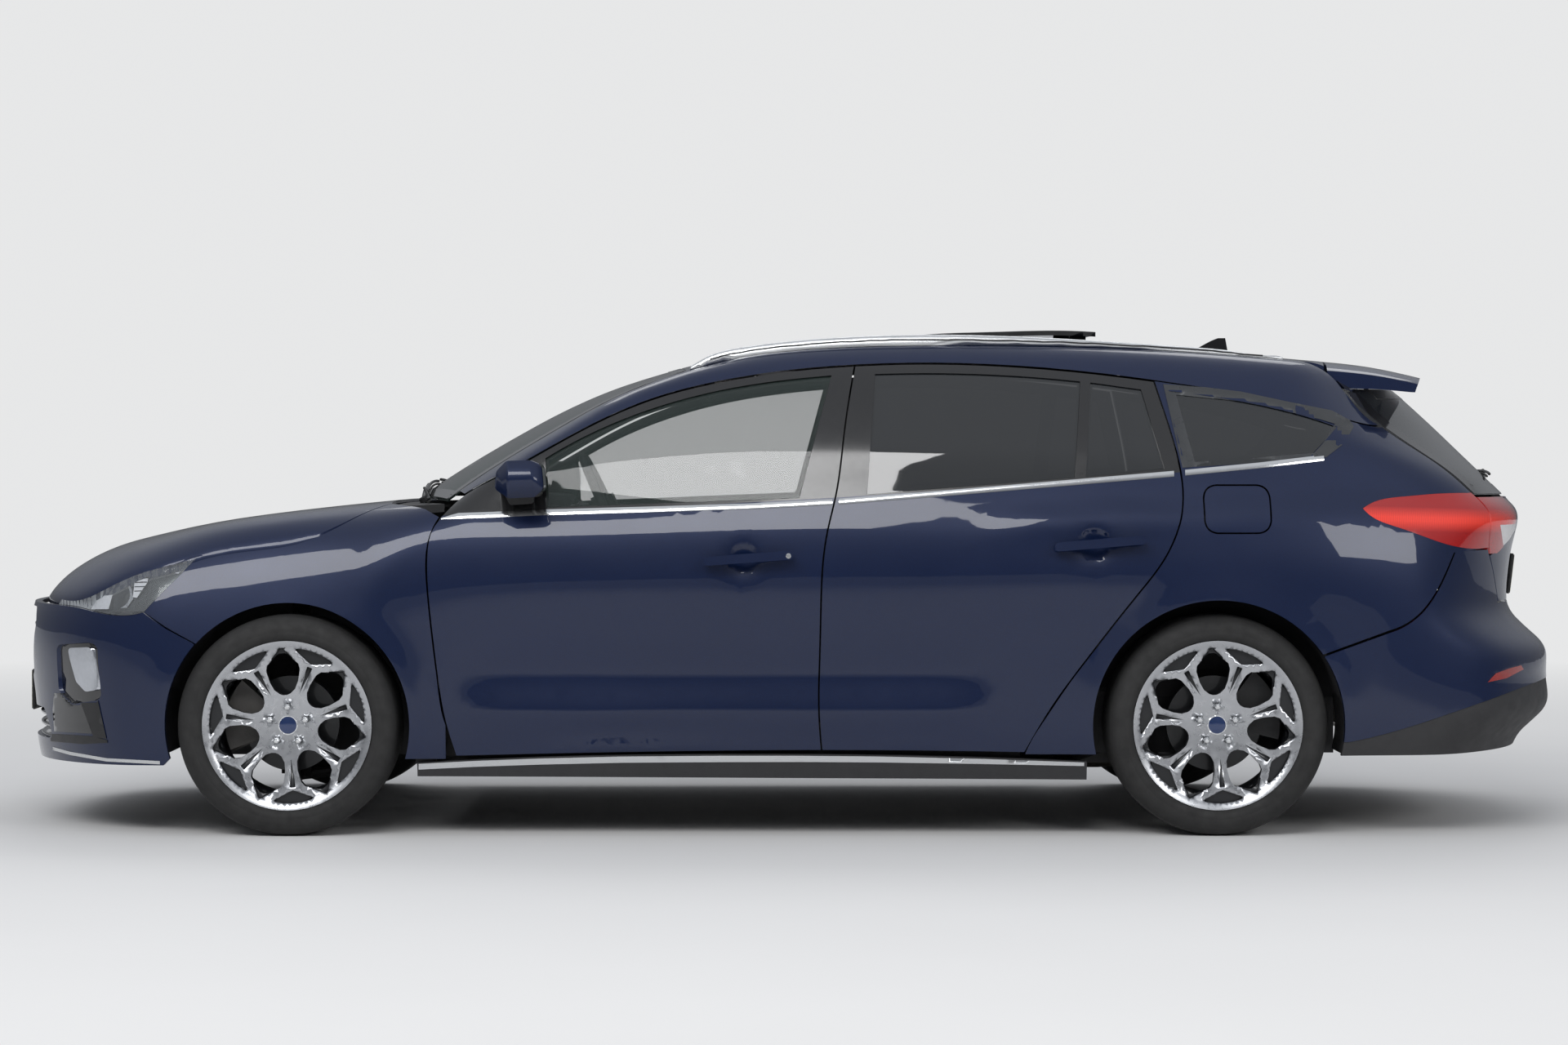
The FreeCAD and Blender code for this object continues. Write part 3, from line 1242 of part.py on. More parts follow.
def make_underbody():
    floor = size("floor_height")
    wall = size("floor_wall")
    half = size("sill_inner_at") - FIT
    load = size("load_floor_height")
    start = size("load_floor_start")
    well = size("rear_arch_radius") + 8
    wheel_front = REAR_AXLE - well - 20
    low = floor - wall
    inner = 525
    front = -1010 + wall + FIT
    plate = [Part.makeBox(wheel_front - front - FIT, 2 * half, wall, Vector(front, -half, low))]
    tunnel = Part.makeBox(900, 260, 90, Vector(-890, -130, floor + FIT))
    rear = [Part.makeBox(start - wheel_front + 1, 2 * inner, wall, Vector(wheel_front, -inner, low)),
            Part.makeBox(wall, 2 * inner, load - low, Vector(start, -inner, low)),
            Part.makeBox(2130 - start, 1290, wall, Vector(start, -645, load))]
    pieces = [Part.makeBox(wall, 2 * half, 654, Vector(-1010, -half, low))]
    for sign in (-1, 1):
        side = min(sign * inner, sign * (inner - wall))
        rear.append(Part.makeBox(start - wheel_front, wall, 84, Vector(wheel_front, side, low)))
        # Arms for the bonnet's hinges and the cowl.
        pieces.append(Part.makeBox(244, 40, 25, Vector(-1240, sign * 520 - 20, 880)))
        riser = Part.makeBox(50, 40, 80, Vector(-1240, sign * 520 - 20, 880))
        pieces.append(seated(riser, shape_of("bonnet"), (0, 0, -FIT)))
        pieces.append(Part.makeBox(wall, 40, 75, Vector(-1010, sign * 520 - 20, 830)))
        rest = Part.makeBox(154, 40, 50, Vector(-1150, sign * 320 - 20, 900))
        pieces.append(seated(rest, shape_of("cowl"), (0, 0, -FIT)))
        pieces.append(Part.makeBox(wall, 40, 90, Vector(-1010, sign * 320 - 20, 830)))
    for x in (-500, 500):
        plate.append(Part.makeBox(40, 40, low - 150 - size("exhaust_radius") - 0.3 + 1,
                                  Vector(x, 40, 150 + size("exhaust_radius") + 0.3)))
    plate, rear, bulkhead = (fused(group) for group in (plate, rear, pieces))
    rear = largest(rear.cut(shape_of("rear_bumper"))).removeSplitter()
    tail_wall = Part.makeBox(wall, 1130, 130 - FIT, Vector(2110, -565, load + wall + FIT - 3))
    tail_wall = largest(tail_wall.cut(shape_of("rear_bumper")).cut(rear))
    add_shape("floor", Part.makeCompound([plate, tunnel, bulkhead, rear, tail_wall]))
    # Wheel arch liners: a shell inside each arch, closed towards the middle of the car.
    liners = []
    gap, wall = size("liner_clearance"), size("liner_wall")
    for axle, radius, inner, panels in (
            (FRONT_AXLE, size("front_arch_radius"), 488, ("front_fenders", "front_bumper")),
            (REAR_AXLE, size("rear_arch_radius"), 650, ("quarter_panels", "rear_bumper"))):
        outer = radius + gap
        width = 876 - inner
        tube = Part.makeCylinder(outer + wall, width, Vector(axle, -876, WHEEL_Z), Vector(0, 1, 0))
        tube = tube.cut(Part.makeCylinder(outer, width - 3.4, Vector(axle, -877, WHEEL_Z),
                                          Vector(0, 1, 0)))
        tube = tube.cut(Part.makeBox(1000, width + 9, 400, Vector(axle - 500, -880, WHEEL_Z - 84 - 400)))
        tube = tube.cut(Part.makeBox(1000, 60, 470, Vector(axle - 500, -inner - 5, WHEEL_Z + 70 - 470)))
        for label in panels:
            for side in shape_of(label).Solids:
                if side.BoundBox.YMin < -300:
                    tube = tube.cut(side)
        liners.append(largest(tube))
    add_shape("wheel_liners", Part.makeCompound([s for t in liners for s in (t, mirrored(t))]))


ARM_HEIGHT = 150


def make_running_gear():
    track = size("front_track") / 2
    cross = doc.addObject("Part::Box", "crossmember")
    bound(cross, Length="260 mm", Height="70 mm")
    cross.Width = 700
    cross.Placement.Base = Vector(FRONT_AXLE - 90, -350, 138)
    pieces = [cross]
    for sign, side in ((-1, "left"), (1, "right")):
        rod = doc.addObject("Part::Cylinder", f"front_arm_{side}")
        bound(rod, Radius="sizes.arm_radius")
        rod.Height = track - 340
        rod.Placement = FreeCAD.Placement(Vector(FRONT_AXLE, sign * 340, ARM_HEIGHT),
                                          FreeCAD.Rotation(Vector(1, 0, 0), -90 * sign))
        brace = doc.addObject("Part::Box", f"front_brace_{side}")
        brace.Length, brace.Width, brace.Height = 270, 24, 24
        brace.Placement = FreeCAD.Placement(
            Vector(FRONT_AXLE, sign * 560 - 12, ARM_HEIGHT - 12),
            FreeCAD.Rotation(Vector(0, 0, 1), -sign * 56))
        mount = doc.addObject("Part::Box", f"engine_mount_{side}")
        mount.Length, mount.Width, mount.Height = 70, 90, 290 - 0.3 - 200
        mount.Placement.Base = Vector(FRONT_AXLE - 88, sign * 260 - 45, 200)
        pieces += [brace, mount]
        strut = doc.addObject("Part::Cylinder", f"strut_{side}")
        strut.Radius = 28
        reach = size("front_arch_radius") + size("liner_clearance")
        strut.Height = WHEEL_Z + math.sqrt(reach ** 2 - 28 ** 2) - FIT - ARM_HEIGHT
        strut.Placement.Base = Vector(FRONT_AXLE, sign * 560, ARM_HEIGHT)
        pieces += [rod, strut]
    fused = doc.addObject("Part::MultiFuse", "subframe")
    fused.Shapes = pieces
    keep(fused, "front_subframe")
    # Rear beam with its arms and the calipers that its ends carry.
    track = size("rear_track") / 2
    beam = doc.addObject("Part::Cylinder", "rear_beam")
    bound(beam, Radius="sizes.beam_radius")
    beam.Height = 2 * (track - 92)
    beam.Placement = FreeCAD.Placement(Vector(REAR_AXLE, track - 92, WHEEL_Z),
                                       FreeCAD.Rotation(Vector(1, 0, 0), 90))
    pieces = [beam]
    for sign, side in ((-1, "left"), (1, "right")):
        link = doc.addObject("Part::Box", f"trailing_arm_{side}")
        link.Length, link.Width, link.Height = 250, 50, 46
        link.Placement.Base = Vector(REAR_AXLE - 250, sign * (525 + FIT + 25) - 25, WHEEL_Z - 70)
        pieces.append(link)
    fused = doc.addObject("Part::MultiFuse", "beam_axle")
    fused.Shapes = pieces
    doc.recompute()
    caliper = make_caliper(REAR_AXLE, -track, 20, 1)
    axle = fused.Shape
    for shape in (caliper, mirrored(caliper)):
        axle = axle.fuse(shape)
    add_shape("rear_axle", axle)
    for sign, side in ((-1, "left"), (1, "right")):
        knuckle = make_caliper(FRONT_AXLE, -size("front_track") / 2, 172, 1)
        # A foot under the disc that stands over the arm's end, on the steering axis.
        centre = -size("front_track") / 2
        rest = ARM_HEIGHT + size("arm_radius") + size("kingpin_gap")
        back = centre + 4 + size("disc_width") + 6
        foot = Part.makeBox(36, back + 16 - (centre - 14), 13,
                            Vector(FRONT_AXLE - 18, centre - 14, rest))
        leg = Part.makeBox(36, 16, 110, Vector(FRONT_AXLE - 18, back, rest))
        knuckle = knuckle.fuse(foot).fuse(leg).removeSplitter()
        add_shape(f"knuckle_{side}", knuckle if sign < 0 else mirrored(knuckle))


def make_caliper(axle, track_at, angle, facing):
    """Hub carrier and brake caliper, left side, about the disc of a wheel."""
    disc, wall = size("disc_radius"), size("disc_width")
    hub = size("hub_radius")
    disc_out, disc_in = track_at + 4, track_at + 4 + wall
    body = Part.makeCylinder(hub, 65, Vector(axle, disc_in + size("kingpin_gap"), WHEEL_Z),
                             Vector(0, 1, 0))
    spread = 34
    inner, outer = disc - 46, disc + 52
    shell_inner = disc + 6

    def sector(near, far, first, width):
        a = [(axle + near * math.cos(math.radians(angle + t)), WHEEL_Z + near
              * math.sin(math.radians(angle + t))) for t in (-spread, 0, spread)]
        b = [(axle + far * math.cos(math.radians(angle + t)), WHEEL_Z + far
              * math.sin(math.radians(angle + t))) for t in (spread, 0, -spread)]
        return closed_prism([a, [a[-1], b[0]], b, [b[-1], a[0]]], "side", first, width)
    bridge = sector(shell_inner, outer, disc_out - 28, wall + 28 + 40)
    outside = sector(inner, outer, disc_out - 28, 22)
    inside = sector(inner, outer, disc_in + 6, 34)
    carrier = sector(hub - 12, inner + 6, disc_in + 12, 26)
    for piece in (bridge, outside, inside, carrier):
        body = body.fuse(piece)
    return body.removeSplitter()


def rim_body(name):
    """A wheel as a PartDesign body about its own Y axis, outer face towards minus Y."""
    body = doc.addObject("PartDesign::Body", name)
    plane = {f.Role: f for f in body.Origin.OriginFeatures}
    sketch = body.newObject("Sketcher::SketchObject", f"{name}_section")
    sketch.AttachmentSupport = (plane["YZ_Plane"], [""])
    sketch.MapMode = "FlatFace"
    radius, half = size("rim_radius"), size("rim_width") / 2
    disc, wall = size("disc_radius"), size("disc_width")
    face = -half + 12
    section = [
        (0, face + 18), (60, face + 16), (radius - 60, face + 6), (radius - 26, face + 2),
        (radius - 8, face - 8), (radius, face - 10), (radius, face + 2), (radius - 14, face + 6),
        (radius - 18, face + 40), (radius - 32, face + 70), (radius - 32, half - 60),
        (radius - 20, half - 30), (radius - 17, half - 12), (radius, half - 8), (radius, half),
        (radius - 8, half), (radius - 26, half - 14), (radius - 28, half - 34),
        (radius - 42, half - 62), (radius - 42, face + 72), (radius - 30, face + 46),
        (radius - 34, face + 34), (radius - 60, face + 34), (74, face + 46), (74, 4),
        (disc, 4), (disc, 4 + wall), (0, 4 + wall)]
    points = [Vector(y, r, 0) for r, y in section]
    for a, b in zip(points, points[1:] + points[:1]):
        sketch.addGeometry(Part.LineSegment(a, b))
    count = len(points)
    for i in range(count):
        sketch.addConstraint(Sketcher.Constraint("Coincident", i, 2, (i + 1) % count, 1))
    turn = body.newObject("PartDesign::Revolution", f"{name}_turned")
    turn.Profile = sketch
    turn.ReferenceAxis = (plane["Y_Axis"], [""])
    turn.Angle = 360
    doc.recompute()
    return body, plane


def closed_loop(sketch, points):
    """Closed run of straight lines in a sketch, held end to end."""
    first = sketch.GeometryCount
    for a, b in zip(points, points[1:] + points[:1]):
        sketch.addGeometry(Part.LineSegment(Vector(a[0], a[1], 0), Vector(b[0], b[1], 0)))
    count = len(points)
    for i in range(count):
        sketch.addConstraint(Sketcher.Constraint(
            "Coincident", first + i, 2, first + (i + 1) % count, 1))


def turned(points, angle):
    turn = math.radians(angle)
    return [(a * math.cos(turn) - b * math.sin(turn), a * math.sin(turn) + b * math.cos(turn))
            for a, b in points]


def pocket_pattern(body, plane, name, loops, depth, count):
    """Loops cut into the wheel's outer face, repeated about its axis."""
    sketch = body.newObject("Sketcher::SketchObject", f"{name}_outline")
    sketch.AttachmentSupport = (plane["XZ_Plane"], [""])
    sketch.MapMode = "FlatFace"
    sketch.AttachmentOffset = FreeCAD.Placement(Vector(0, 0, size("rim_width") / 2 + 1),
                                                FreeCAD.Rotation())
    for loop in loops:
        closed_loop(sketch, loop)
    before = body.Shape.Volume
    pocket = body.newObject("PartDesign::Pocket", f"{name}_cut")
    pocket.Profile = sketch
    pocket.Length = depth
    doc.recompute()
    if abs(body.Shape.Volume - before) < 1:
        pocket.Reversed = True
        doc.recompute()
    if abs(body.Shape.Volume - before) < 1:
        raise ValueError(f"{name} cuts nothing")
    pattern = body.newObject("PartDesign::PolarPattern", f"{name}_pattern")
    pattern.Originals = [pocket]
    pattern.Axis = (plane["Y_Axis"], [""])
    pattern.Angle = 360
    pattern.Occurrences = count
    body.Tip = pattern
    doc.recompute()


def make_rim(name):
    body, plane = rim_body(name)
    edge = size("rim_radius")
    spokes = int(size("spoke_count"))
    first_window = 90 + 4.6
    tip = edge - 36
    upper = [(tip, 8), (tip - 4, 16), (177, 46), (160, 49), (127, 41), (104, 30), (92, 16), (88, 5)]
    window_points = upper + [(a, -b) for a, b in upper[::-1]]
    apex = [(edge - 20, 3), (196, 31), (188, 28)]
    apex += [(a, -b) for a, b in apex[::-1]]
    pocket_pattern(body, plane, f"{name}_window", [turned(window_points, first_window)],
                   73, spokes)
    between = first_window + 180 / spokes
    arm_pocket = turned([(edge - 57, 0), (212, 56), (218, 55), (224, 30), (edge - 19.5, 0), (224, -30),
                         (218, -55), (212, -56)], between)
    groove = turned([(84, -4.5), (180, -8), (180, 8), (84, 4.5)], between)
    pocket_pattern(body, plane, f"{name}_relief", [arm_pocket, groove], 26, spokes)
    pocket_pattern(body, plane, f"{name}_apex", [turned(apex, first_window)], 26, spokes)
    seat = [(size("nut_circle") / 2 + 11 * math.cos(t * math.pi / 4), 11 * math.sin(t * math.pi / 4))
            for t in range(8)]
    pocket_pattern(body, plane, f"{name}_nut_seat", [turned(seat, 90)], 30,
                   int(size("nut_count")))
    return body


def make_tyre(name):
    body = doc.addObject("PartDesign::Body", name)
    plane = {f.Role: f for f in body.Origin.OriginFeatures}
    sketch = body.newObject("Sketcher::SketchObject", f"{name}_section")
    sketch.AttachmentSupport = (plane["YZ_Plane"], [""])
    sketch.MapMode = "FlatFace"
    outer = size("tyre_radius")
    half, bead = size("tyre_width") / 2, size("rim_width") / 2
    bead_r = size("rim_radius") + 0.4
    half_section = [(bead - 19.4, bead_r - 12), (bead - 14.6, bead_r), (bead + 2, bead_r + 2),
                    (half, bead_r + 30), (half - 2, outer - 28), (half - 18, outer - 8),
                    (half - 40, outer - 1)]
    points = ([(-a, b) for a, b in half_section] + [(0, outer)] + half_section[::-1]
              + [(bead - 24, outer - 40), (-(bead - 24), outer - 40)])
    closed_loop(sketch, points)
    turn = body.newObject("PartDesign::Revolution", f"{name}_turned")
    turn.Profile = sketch
    turn.ReferenceAxis = (plane["Y_Axis"], [""])
    turn.Angle = 360
    doc.recompute()
    return body


def make_wheels():
    for place, axle, track in (("front", FRONT_AXLE, size("front_track")),
                               ("rear", REAR_AXLE, size("rear_track"))):
        for sign, side in ((-1, "left"), (1, "right")):
            for kind, build in (("rim", make_rim), ("tyre", make_tyre)):
                label = f"{kind}_{place}_{side}"
                body = build(label)
                turn = FreeCAD.Rotation(Vector(0, 0, 1), 0 if sign < 0 else 180)
                body.Placement = FreeCAD.Placement(Vector(axle, sign * track / 2, WHEEL_Z), turn)
                keep(body, label)


def make_mirror():
    # Shell with an arm that stands on the door's front corner.
    outer = [(-842, 1010), (-836, 1060), (-806, 1090), (-740, 1092), (-706, 1078), (-700, 1010),
             (-716, 986), (-800, 982)]
    body = closed_prism(rounded(outer, 18), "side", -990, 155)
    taper = closed_prism(polygon([(-860, -835), (-848, -960), (-800, -990), (-690, -985),
                                  (-690, -835)]), "plan", 900, 300)
    body = body.common(taper)
    arm = closed_prism(rounded([(-822, 1004), (-730, 1004), (-736, 966), (-800, 962)], 10),
                       "side", -925, 96)
    skin_cut = sheet_over(side_rays, (-900, -650, 10), (8, 36, 12), -1.2, 160)
    return largest(body.fuse(arm).cut(skin_cut)).removeSplitter()


def make_flap_and_glass():
    skin = sheet_over(side_rays, (1150, 1460, 8), (6, 28, 8), 0, 6)
    inset = GAP
    corners = [(1206 + inset, 878 + inset), (1404 - inset, 878 + inset),
               (1404 - inset, 1022 - inset), (1206 + inset, 1022 - inset)]
    flap = skin.common(side_cutter(rounded(corners, 40 - inset)))
    add_shape("fuel_flap", flap)
    bowl = sheet_over(side_rays, (1150, 1460, 8), (6, 28, 8), 36, 50)
    corners = [(1206 + FIT, 878 + FIT), (1404 - FIT, 878 + FIT), (1404 - FIT, 1022 - FIT),
               (1206 + FIT, 1022 - FIT)]
    pane = glass_pane(QUARTER_GLASS_OUTLINE, (1080, 1640, 22), (18, 54, 18))
    add_shape("quarter_glass", both_sides(pane))
    bowl = bowl.common(side_cutter(rounded(corners, 40)))
    block = Part.makeBox(14, 90, 34, Vector(1214, -900, 933))
    block = block.cut(sheet_over(side_rays, (1150, 1460, 8), (6, 28, 8), -90, 3))
    bowl = bowl.fuse(seated(block, flap, (0, FIT, 0)))
    add_shape("filler_bowl", bowl)


STEERING_TILT = 65
STEERING_AT = (-540, -size("seat_centre"), 935)


def make_seat(prefix, x, y, width, rake=22):
    """A seat: cushion, back and head rest joined, plain solids for a padded look."""
    height, wall = size("seat_height"), size("cushion_wall")
    cushion = doc.addObject("Part::Box", f"{prefix}_cushion")
    bound(cushion, Length="sizes.cushion_depth", Height="sizes.cushion_wall")
    cushion.Width = width
    cushion.Placement.Base = Vector(x, y - width / 2, height - wall)
    back = doc.addObject("Part::Box", f"{prefix}_back")
    bound(back, Length="sizes.back_wall", Height="sizes.back_height")
    back.Width = width
    base = Vector(x + size("cushion_depth") - 40, y - width / 2, height - wall + 20)
    back.Placement = FreeCAD.Placement(base, FreeCAD.Rotation(Vector(0, 1, 0), rake))
    return [cushion, back]


def make_cabin():
    centre, width = size("seat_centre"), size("seat_width")
    pieces = []
    for sign, side in ((-1, "left"), (1, "right")):
        parts = make_seat(f"front_seat_{side}", size("front_seat_at"), sign * centre, width)
        head = doc.addObject("Part::Box", f"front_head_rest_{side}")
        head.Length, head.Width, head.Height = 90, 250, 190
        head_at = Vector(size("front_seat_at") + 700, sign * centre - 125, 1010 - 110)
        head.Placement = FreeCAD.Placement(head_at, FreeCAD.Rotation(Vector(0, 1, 0), 16))
        post = doc.addObject("Part::Box", f"front_head_post_{side}")
        post.Length, post.Width, post.Height = 16, 150, 190
        post.Placement = FreeCAD.Placement(
            Vector(size("front_seat_at") + 680, sign * centre - 75, 850),
            FreeCAD.Rotation(Vector(0, 1, 0), 20))
        parts.append(post)
        frame = doc.addObject("Part::Box", f"front_seat_base_{side}")
        frame.Length, frame.Width = 380, 380
        frame.Height = size("seat_height") - size("cushion_wall") - size("floor_height") - 0.4
        frame.Placement.Base = Vector(size("front_seat_at") + 60, sign * centre - 190,
                                      size("floor_height") + 0.4)
        fuse = doc.addObject("Part::MultiFuse", f"front_seat_{side}")
        fuse.Shapes = parts + [head, frame]
        pieces.append(fuse)
    group = doc.addObject("Part::Compound", "front_seat_pair")
    group.Links = pieces
    keep(group, "front_seats")
    parts = make_seat("rear_bench", size("rear_seat_at"), 0, 1240, 24)
    frame = doc.addObject("Part::Box", "rear_bench_base")
    frame.Length, frame.Width = 330, 1200
    frame.Height = size("seat_height") - size("cushion_wall") - size("floor_height") - 0.4
    frame.Placement.Base = Vector(size("rear_seat_at") + 50, -600, size("floor_height") + 0.4)
    heads = []
    for k in (-1, 0, 1):
        head = doc.addObject("Part::Box", f"rear_head_rest_{k + 2}")
        head.Length, head.Width, head.Height = 80, 230, 150
        head.Placement = FreeCAD.Placement(
            Vector(size("rear_seat_at") + 712, k * 410 - 115, 900), FreeCAD.Rotation(Vector(0, 1, 0), 18))
        post = doc.addObject("Part::Box", f"rear_head_post_{k + 2}")
        post.Length, post.Width, post.Height = 14, 120, 130
        post.Placement = FreeCAD.Placement(
            Vector(size("rear_seat_at") + 700, k * 410 - 60, 830), FreeCAD.Rotation(Vector(0, 1, 0), 24))
        heads += [head, post]
    fuse = doc.addObject("Part::MultiFuse", "rear_bench_joined")
    fuse.Shapes = parts + [frame] + heads
    keep(fuse, "rear_bench")
    # Dashboard with the centre console, one moulding across the car.
    outline = [[(-990, 640), (-1000, 900)], [(-1000, 900), (-900, 952), (-760, 968), (-660, 950)],
               [(-660, 950), (-640, 880), (-680, 760), (-740, 640)], [(-740, 640), (-990, 640)]]
    dash = closed_prism(outline, "side", -700, 1400)
    console = closed_prism(rounded([(-860, 216), (60, 216), (60, 480), (-300, 470), (-560, 560),
                                    (-700, 760), (-860, 760)], 40), "side", -105, 210)
    console = console.cut(Part.makeBox(1200, 262, 100 + FIT, Vector(-1000, -131, 190)))
    tilt = math.radians(STEERING_TILT)
    axis = Vector(math.sin(tilt), 0, math.cos(tilt))
    column = Part.makeCylinder(32, 110, Vector(*STEERING_AT) - axis * (93 + FIT), axis * -1)
    dash = dash.fuse(console).fuse(column)
    dash = dash.cut(Part.makeBox(60, 1500, 800, Vector(-1010 + size("floor_wall") + FIT - 60,
                                                       -750, 200)))
    add_shape("dashboard", dash.removeSplitter())


def make_steering():
    radius = size("steering_wheel_radius")
    ring = doc.addObject("Part::Torus", "steering_ring")
    bound(ring, Radius1="sizes.steering_wheel_radius")
    ring.Radius2 = 14
    hub = doc.addObject("Part::Cylinder", "steering_hub")
    hub.Radius, hub.Height = 62, 50
    hub.Placement.Base = Vector(0, 0, -34)
    spoke = doc.addObject("Part::Box", "steering_spokes")
    spoke.Length, spoke.Width, spoke.Height = 40, 2 * radius - 10, 14
    spoke.Placement.Base = Vector(-20, -radius + 5, -12)
    drop = doc.addObject("Part::Box", "steering_lower_spoke")
    drop.Length, drop.Width, drop.Height = radius - 4, 34, 14
    drop.Placement.Base = Vector(0, -17, -12)
    shaft = doc.addObject("Part::Cylinder", "steering_shaft")
    shaft.Radius, shaft.Height = 22, 60
    shaft.Placement.Base = Vector(0, 0, -93)
    fuse = doc.addObject("Part::MultiFuse", "steering_joined")
    fuse.Shapes = [ring, hub, spoke, drop, shaft]
    keep(fuse, "steering_wheel")
    turn = FreeCAD.Rotation(Vector(0, 1, 0), STEERING_TILT)
    fuse.Placement = FreeCAD.Placement(Vector(*STEERING_AT), turn)


def make_machinery():
    engine = doc.addObject("Part::Box", "engine_block")
    bound(engine, Length="sizes.engine_length", Width="sizes.engine_width",
          Height="sizes.engine_height")
    engine.Placement.Base = Vector(FRONT_AXLE + 10 - size("engine_length"),
                                   -size("engine_width") / 2, 290)
    keep(engine, "engine")
    radius = size("exhaust_radius")
    route = [(-1240, 150, 240), (-1110, 150, 150), (-880, 60, 150), (980, 60, 150),
             (1124, 180, 150), (1226, 300, 212), (1340, 300, 215), (1700, 180, 330)]
    pipe = None
    for a, b in zip(route, route[1:]):
        start, end = Vector(*a), Vector(*b)
        piece = Part.makeCylinder(radius, (end - start).Length, start, end - start)
        piece = piece.fuse(Part.makeSphere(radius, end))
        pipe = piece if pipe is None else pipe.fuse(piece)
    box = Part.makeCylinder(95, 520, Vector(1790, -260, 330), Vector(0, 1, 0))
    outlet = Part.makeCylinder(radius + 6, 330, Vector(1790, -200, 300), Vector(1, -0.15, -0.12))
    for piece in (box, outlet):
        pipe = pipe.fuse(piece)
    add_shape("exhaust", pipe.removeSplitter())
    # Cowl panel between the bonnet and the windscreen.
    front, back = [], []
    columns = 25
    for i in range(columns):
        y = -700 + 1400 * i / (columns - 1)
        rear_x = Spline([(0, -1135), (240, -1118), (500, -1065), (712, -1000)])(abs(y)) - 6
        start_x = -1183 + 17 * (abs(y) / 700) ** 2 + 5
        top_row, low_row = [], []
        for j in range(5):
            x = start_x + (rear_x - start_x) * j / 4
            z = 962 + 0.06 * (x + 1170) - 8 * (abs(y) / 700) ** 2
            top_row.append(Vector(x, y, z))
            low_row.append(Vector(x, y, z - 24))
        front.append(top_row)
        back.append(low_row)
    return slab(front, back)


make_doors()
make_fenders()
bonnet_space = make_bonnet()
make_roof()
make_roof_sides()
make_quarters()
fog_lamps = make_nose(bonnet_space)
head_lamp = make_head_lamps(bonnet_space)
add_shape("front_lamps", Part.makeCompound([head_lamp, mirrored(head_lamp), fog_lamps[0],
                                            mirrored(fog_lamps[0])]))
valance, body_lamp, gate_lamp = make_tail()
add_shape("tail_lamps_body", both_sides(body_lamp))
make_gate(gate_lamp)
add_roof_hinges()
make_rails_and_roof_items()
sill_trim = make_sills_and_posts()
cowl = make_machinery()
add_shape("lower_trims", Part.makeCompound([sill_trim, mirrored(sill_trim), valance]))
add_shape("cowl", cowl)
make_underbody()
make_running_gear()
make_wheels()
mirror = make_mirror()
add_shape("mirror_left", mirror)
add_shape("mirror_right", mirrored(mirror))
make_flap_and_glass()
make_cabin()
make_steering()
doc.recompute()

for item in doc.Objects:
    if "Invalid" in item.State or "Error" in item.State:
        raise ValueError(f"{item.Label} did not compute")
for node in nodes:
    if node.Shape.isNull() or not node.Shape.isValid():
        raise ValueError(f"{node.Label} has no sound shape")
os.makedirs("parts", exist_ok=True)
for node in nodes:
    node.Shape.exportStep(f"parts/{node.Label}.step")
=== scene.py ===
import json
import math

import bmesh
import bpy
import numpy as np
from mathutils import Matrix, Vector
from mathutils.bvhtree import BVHTree
from mathutils.geometry import delaunay_2d_cdt
from mathutils.kdtree import KDTree


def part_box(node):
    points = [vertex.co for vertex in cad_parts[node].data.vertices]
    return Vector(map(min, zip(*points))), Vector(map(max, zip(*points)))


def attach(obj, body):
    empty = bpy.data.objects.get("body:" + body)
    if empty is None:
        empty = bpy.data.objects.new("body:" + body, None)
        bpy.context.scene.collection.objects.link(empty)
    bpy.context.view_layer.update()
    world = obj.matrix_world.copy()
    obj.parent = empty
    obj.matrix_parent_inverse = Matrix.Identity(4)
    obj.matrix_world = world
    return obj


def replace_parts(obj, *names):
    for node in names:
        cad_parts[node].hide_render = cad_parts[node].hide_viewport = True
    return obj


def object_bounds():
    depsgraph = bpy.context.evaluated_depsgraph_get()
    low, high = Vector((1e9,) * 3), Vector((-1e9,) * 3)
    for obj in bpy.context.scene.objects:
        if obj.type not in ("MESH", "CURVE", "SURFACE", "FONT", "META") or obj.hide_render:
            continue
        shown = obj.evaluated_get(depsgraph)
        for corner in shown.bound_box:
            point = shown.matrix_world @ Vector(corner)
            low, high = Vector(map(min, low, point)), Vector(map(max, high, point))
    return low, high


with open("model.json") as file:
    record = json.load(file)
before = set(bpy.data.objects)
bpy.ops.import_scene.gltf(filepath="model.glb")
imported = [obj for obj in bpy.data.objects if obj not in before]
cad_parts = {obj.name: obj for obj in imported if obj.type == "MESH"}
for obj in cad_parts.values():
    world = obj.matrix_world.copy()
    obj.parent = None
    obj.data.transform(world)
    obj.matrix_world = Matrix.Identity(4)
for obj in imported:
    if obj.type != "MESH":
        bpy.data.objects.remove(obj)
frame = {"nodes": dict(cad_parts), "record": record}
CAD_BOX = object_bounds()
NODES = frame["nodes"]
BODIES = frame["record"]["behaviour"]["bodies"]
BODY_OF = {node: body for body, names in BODIES.items() for node in names}
SIDES = (("left", -1), ("right", 1))
ROOT = "car_body"

# Wheels: distance of the tyre's middle from the car's middle, and the axle's place along the car.
AXLES = (("front", 0.783, -1.45), ("rear", 0.776, 1.25))
HUB_HEIGHT = 0.322
TYRE_RADIUS = 0.3219
RIM_HALF = 0.110
RIM_CUT = 0.0306
NUT_CIRCLE = 0.054

# The camera, and the focal length in pixels of the picture that trim outlines are given in.
EYE = Vector((-0.009, -11.4, 1.077))
TILT = 0.902
SPAN = 4445
MIDDLE_U, LEVEL_V = 960, 570


# Materials. Each is a node graph on a Principled shader.

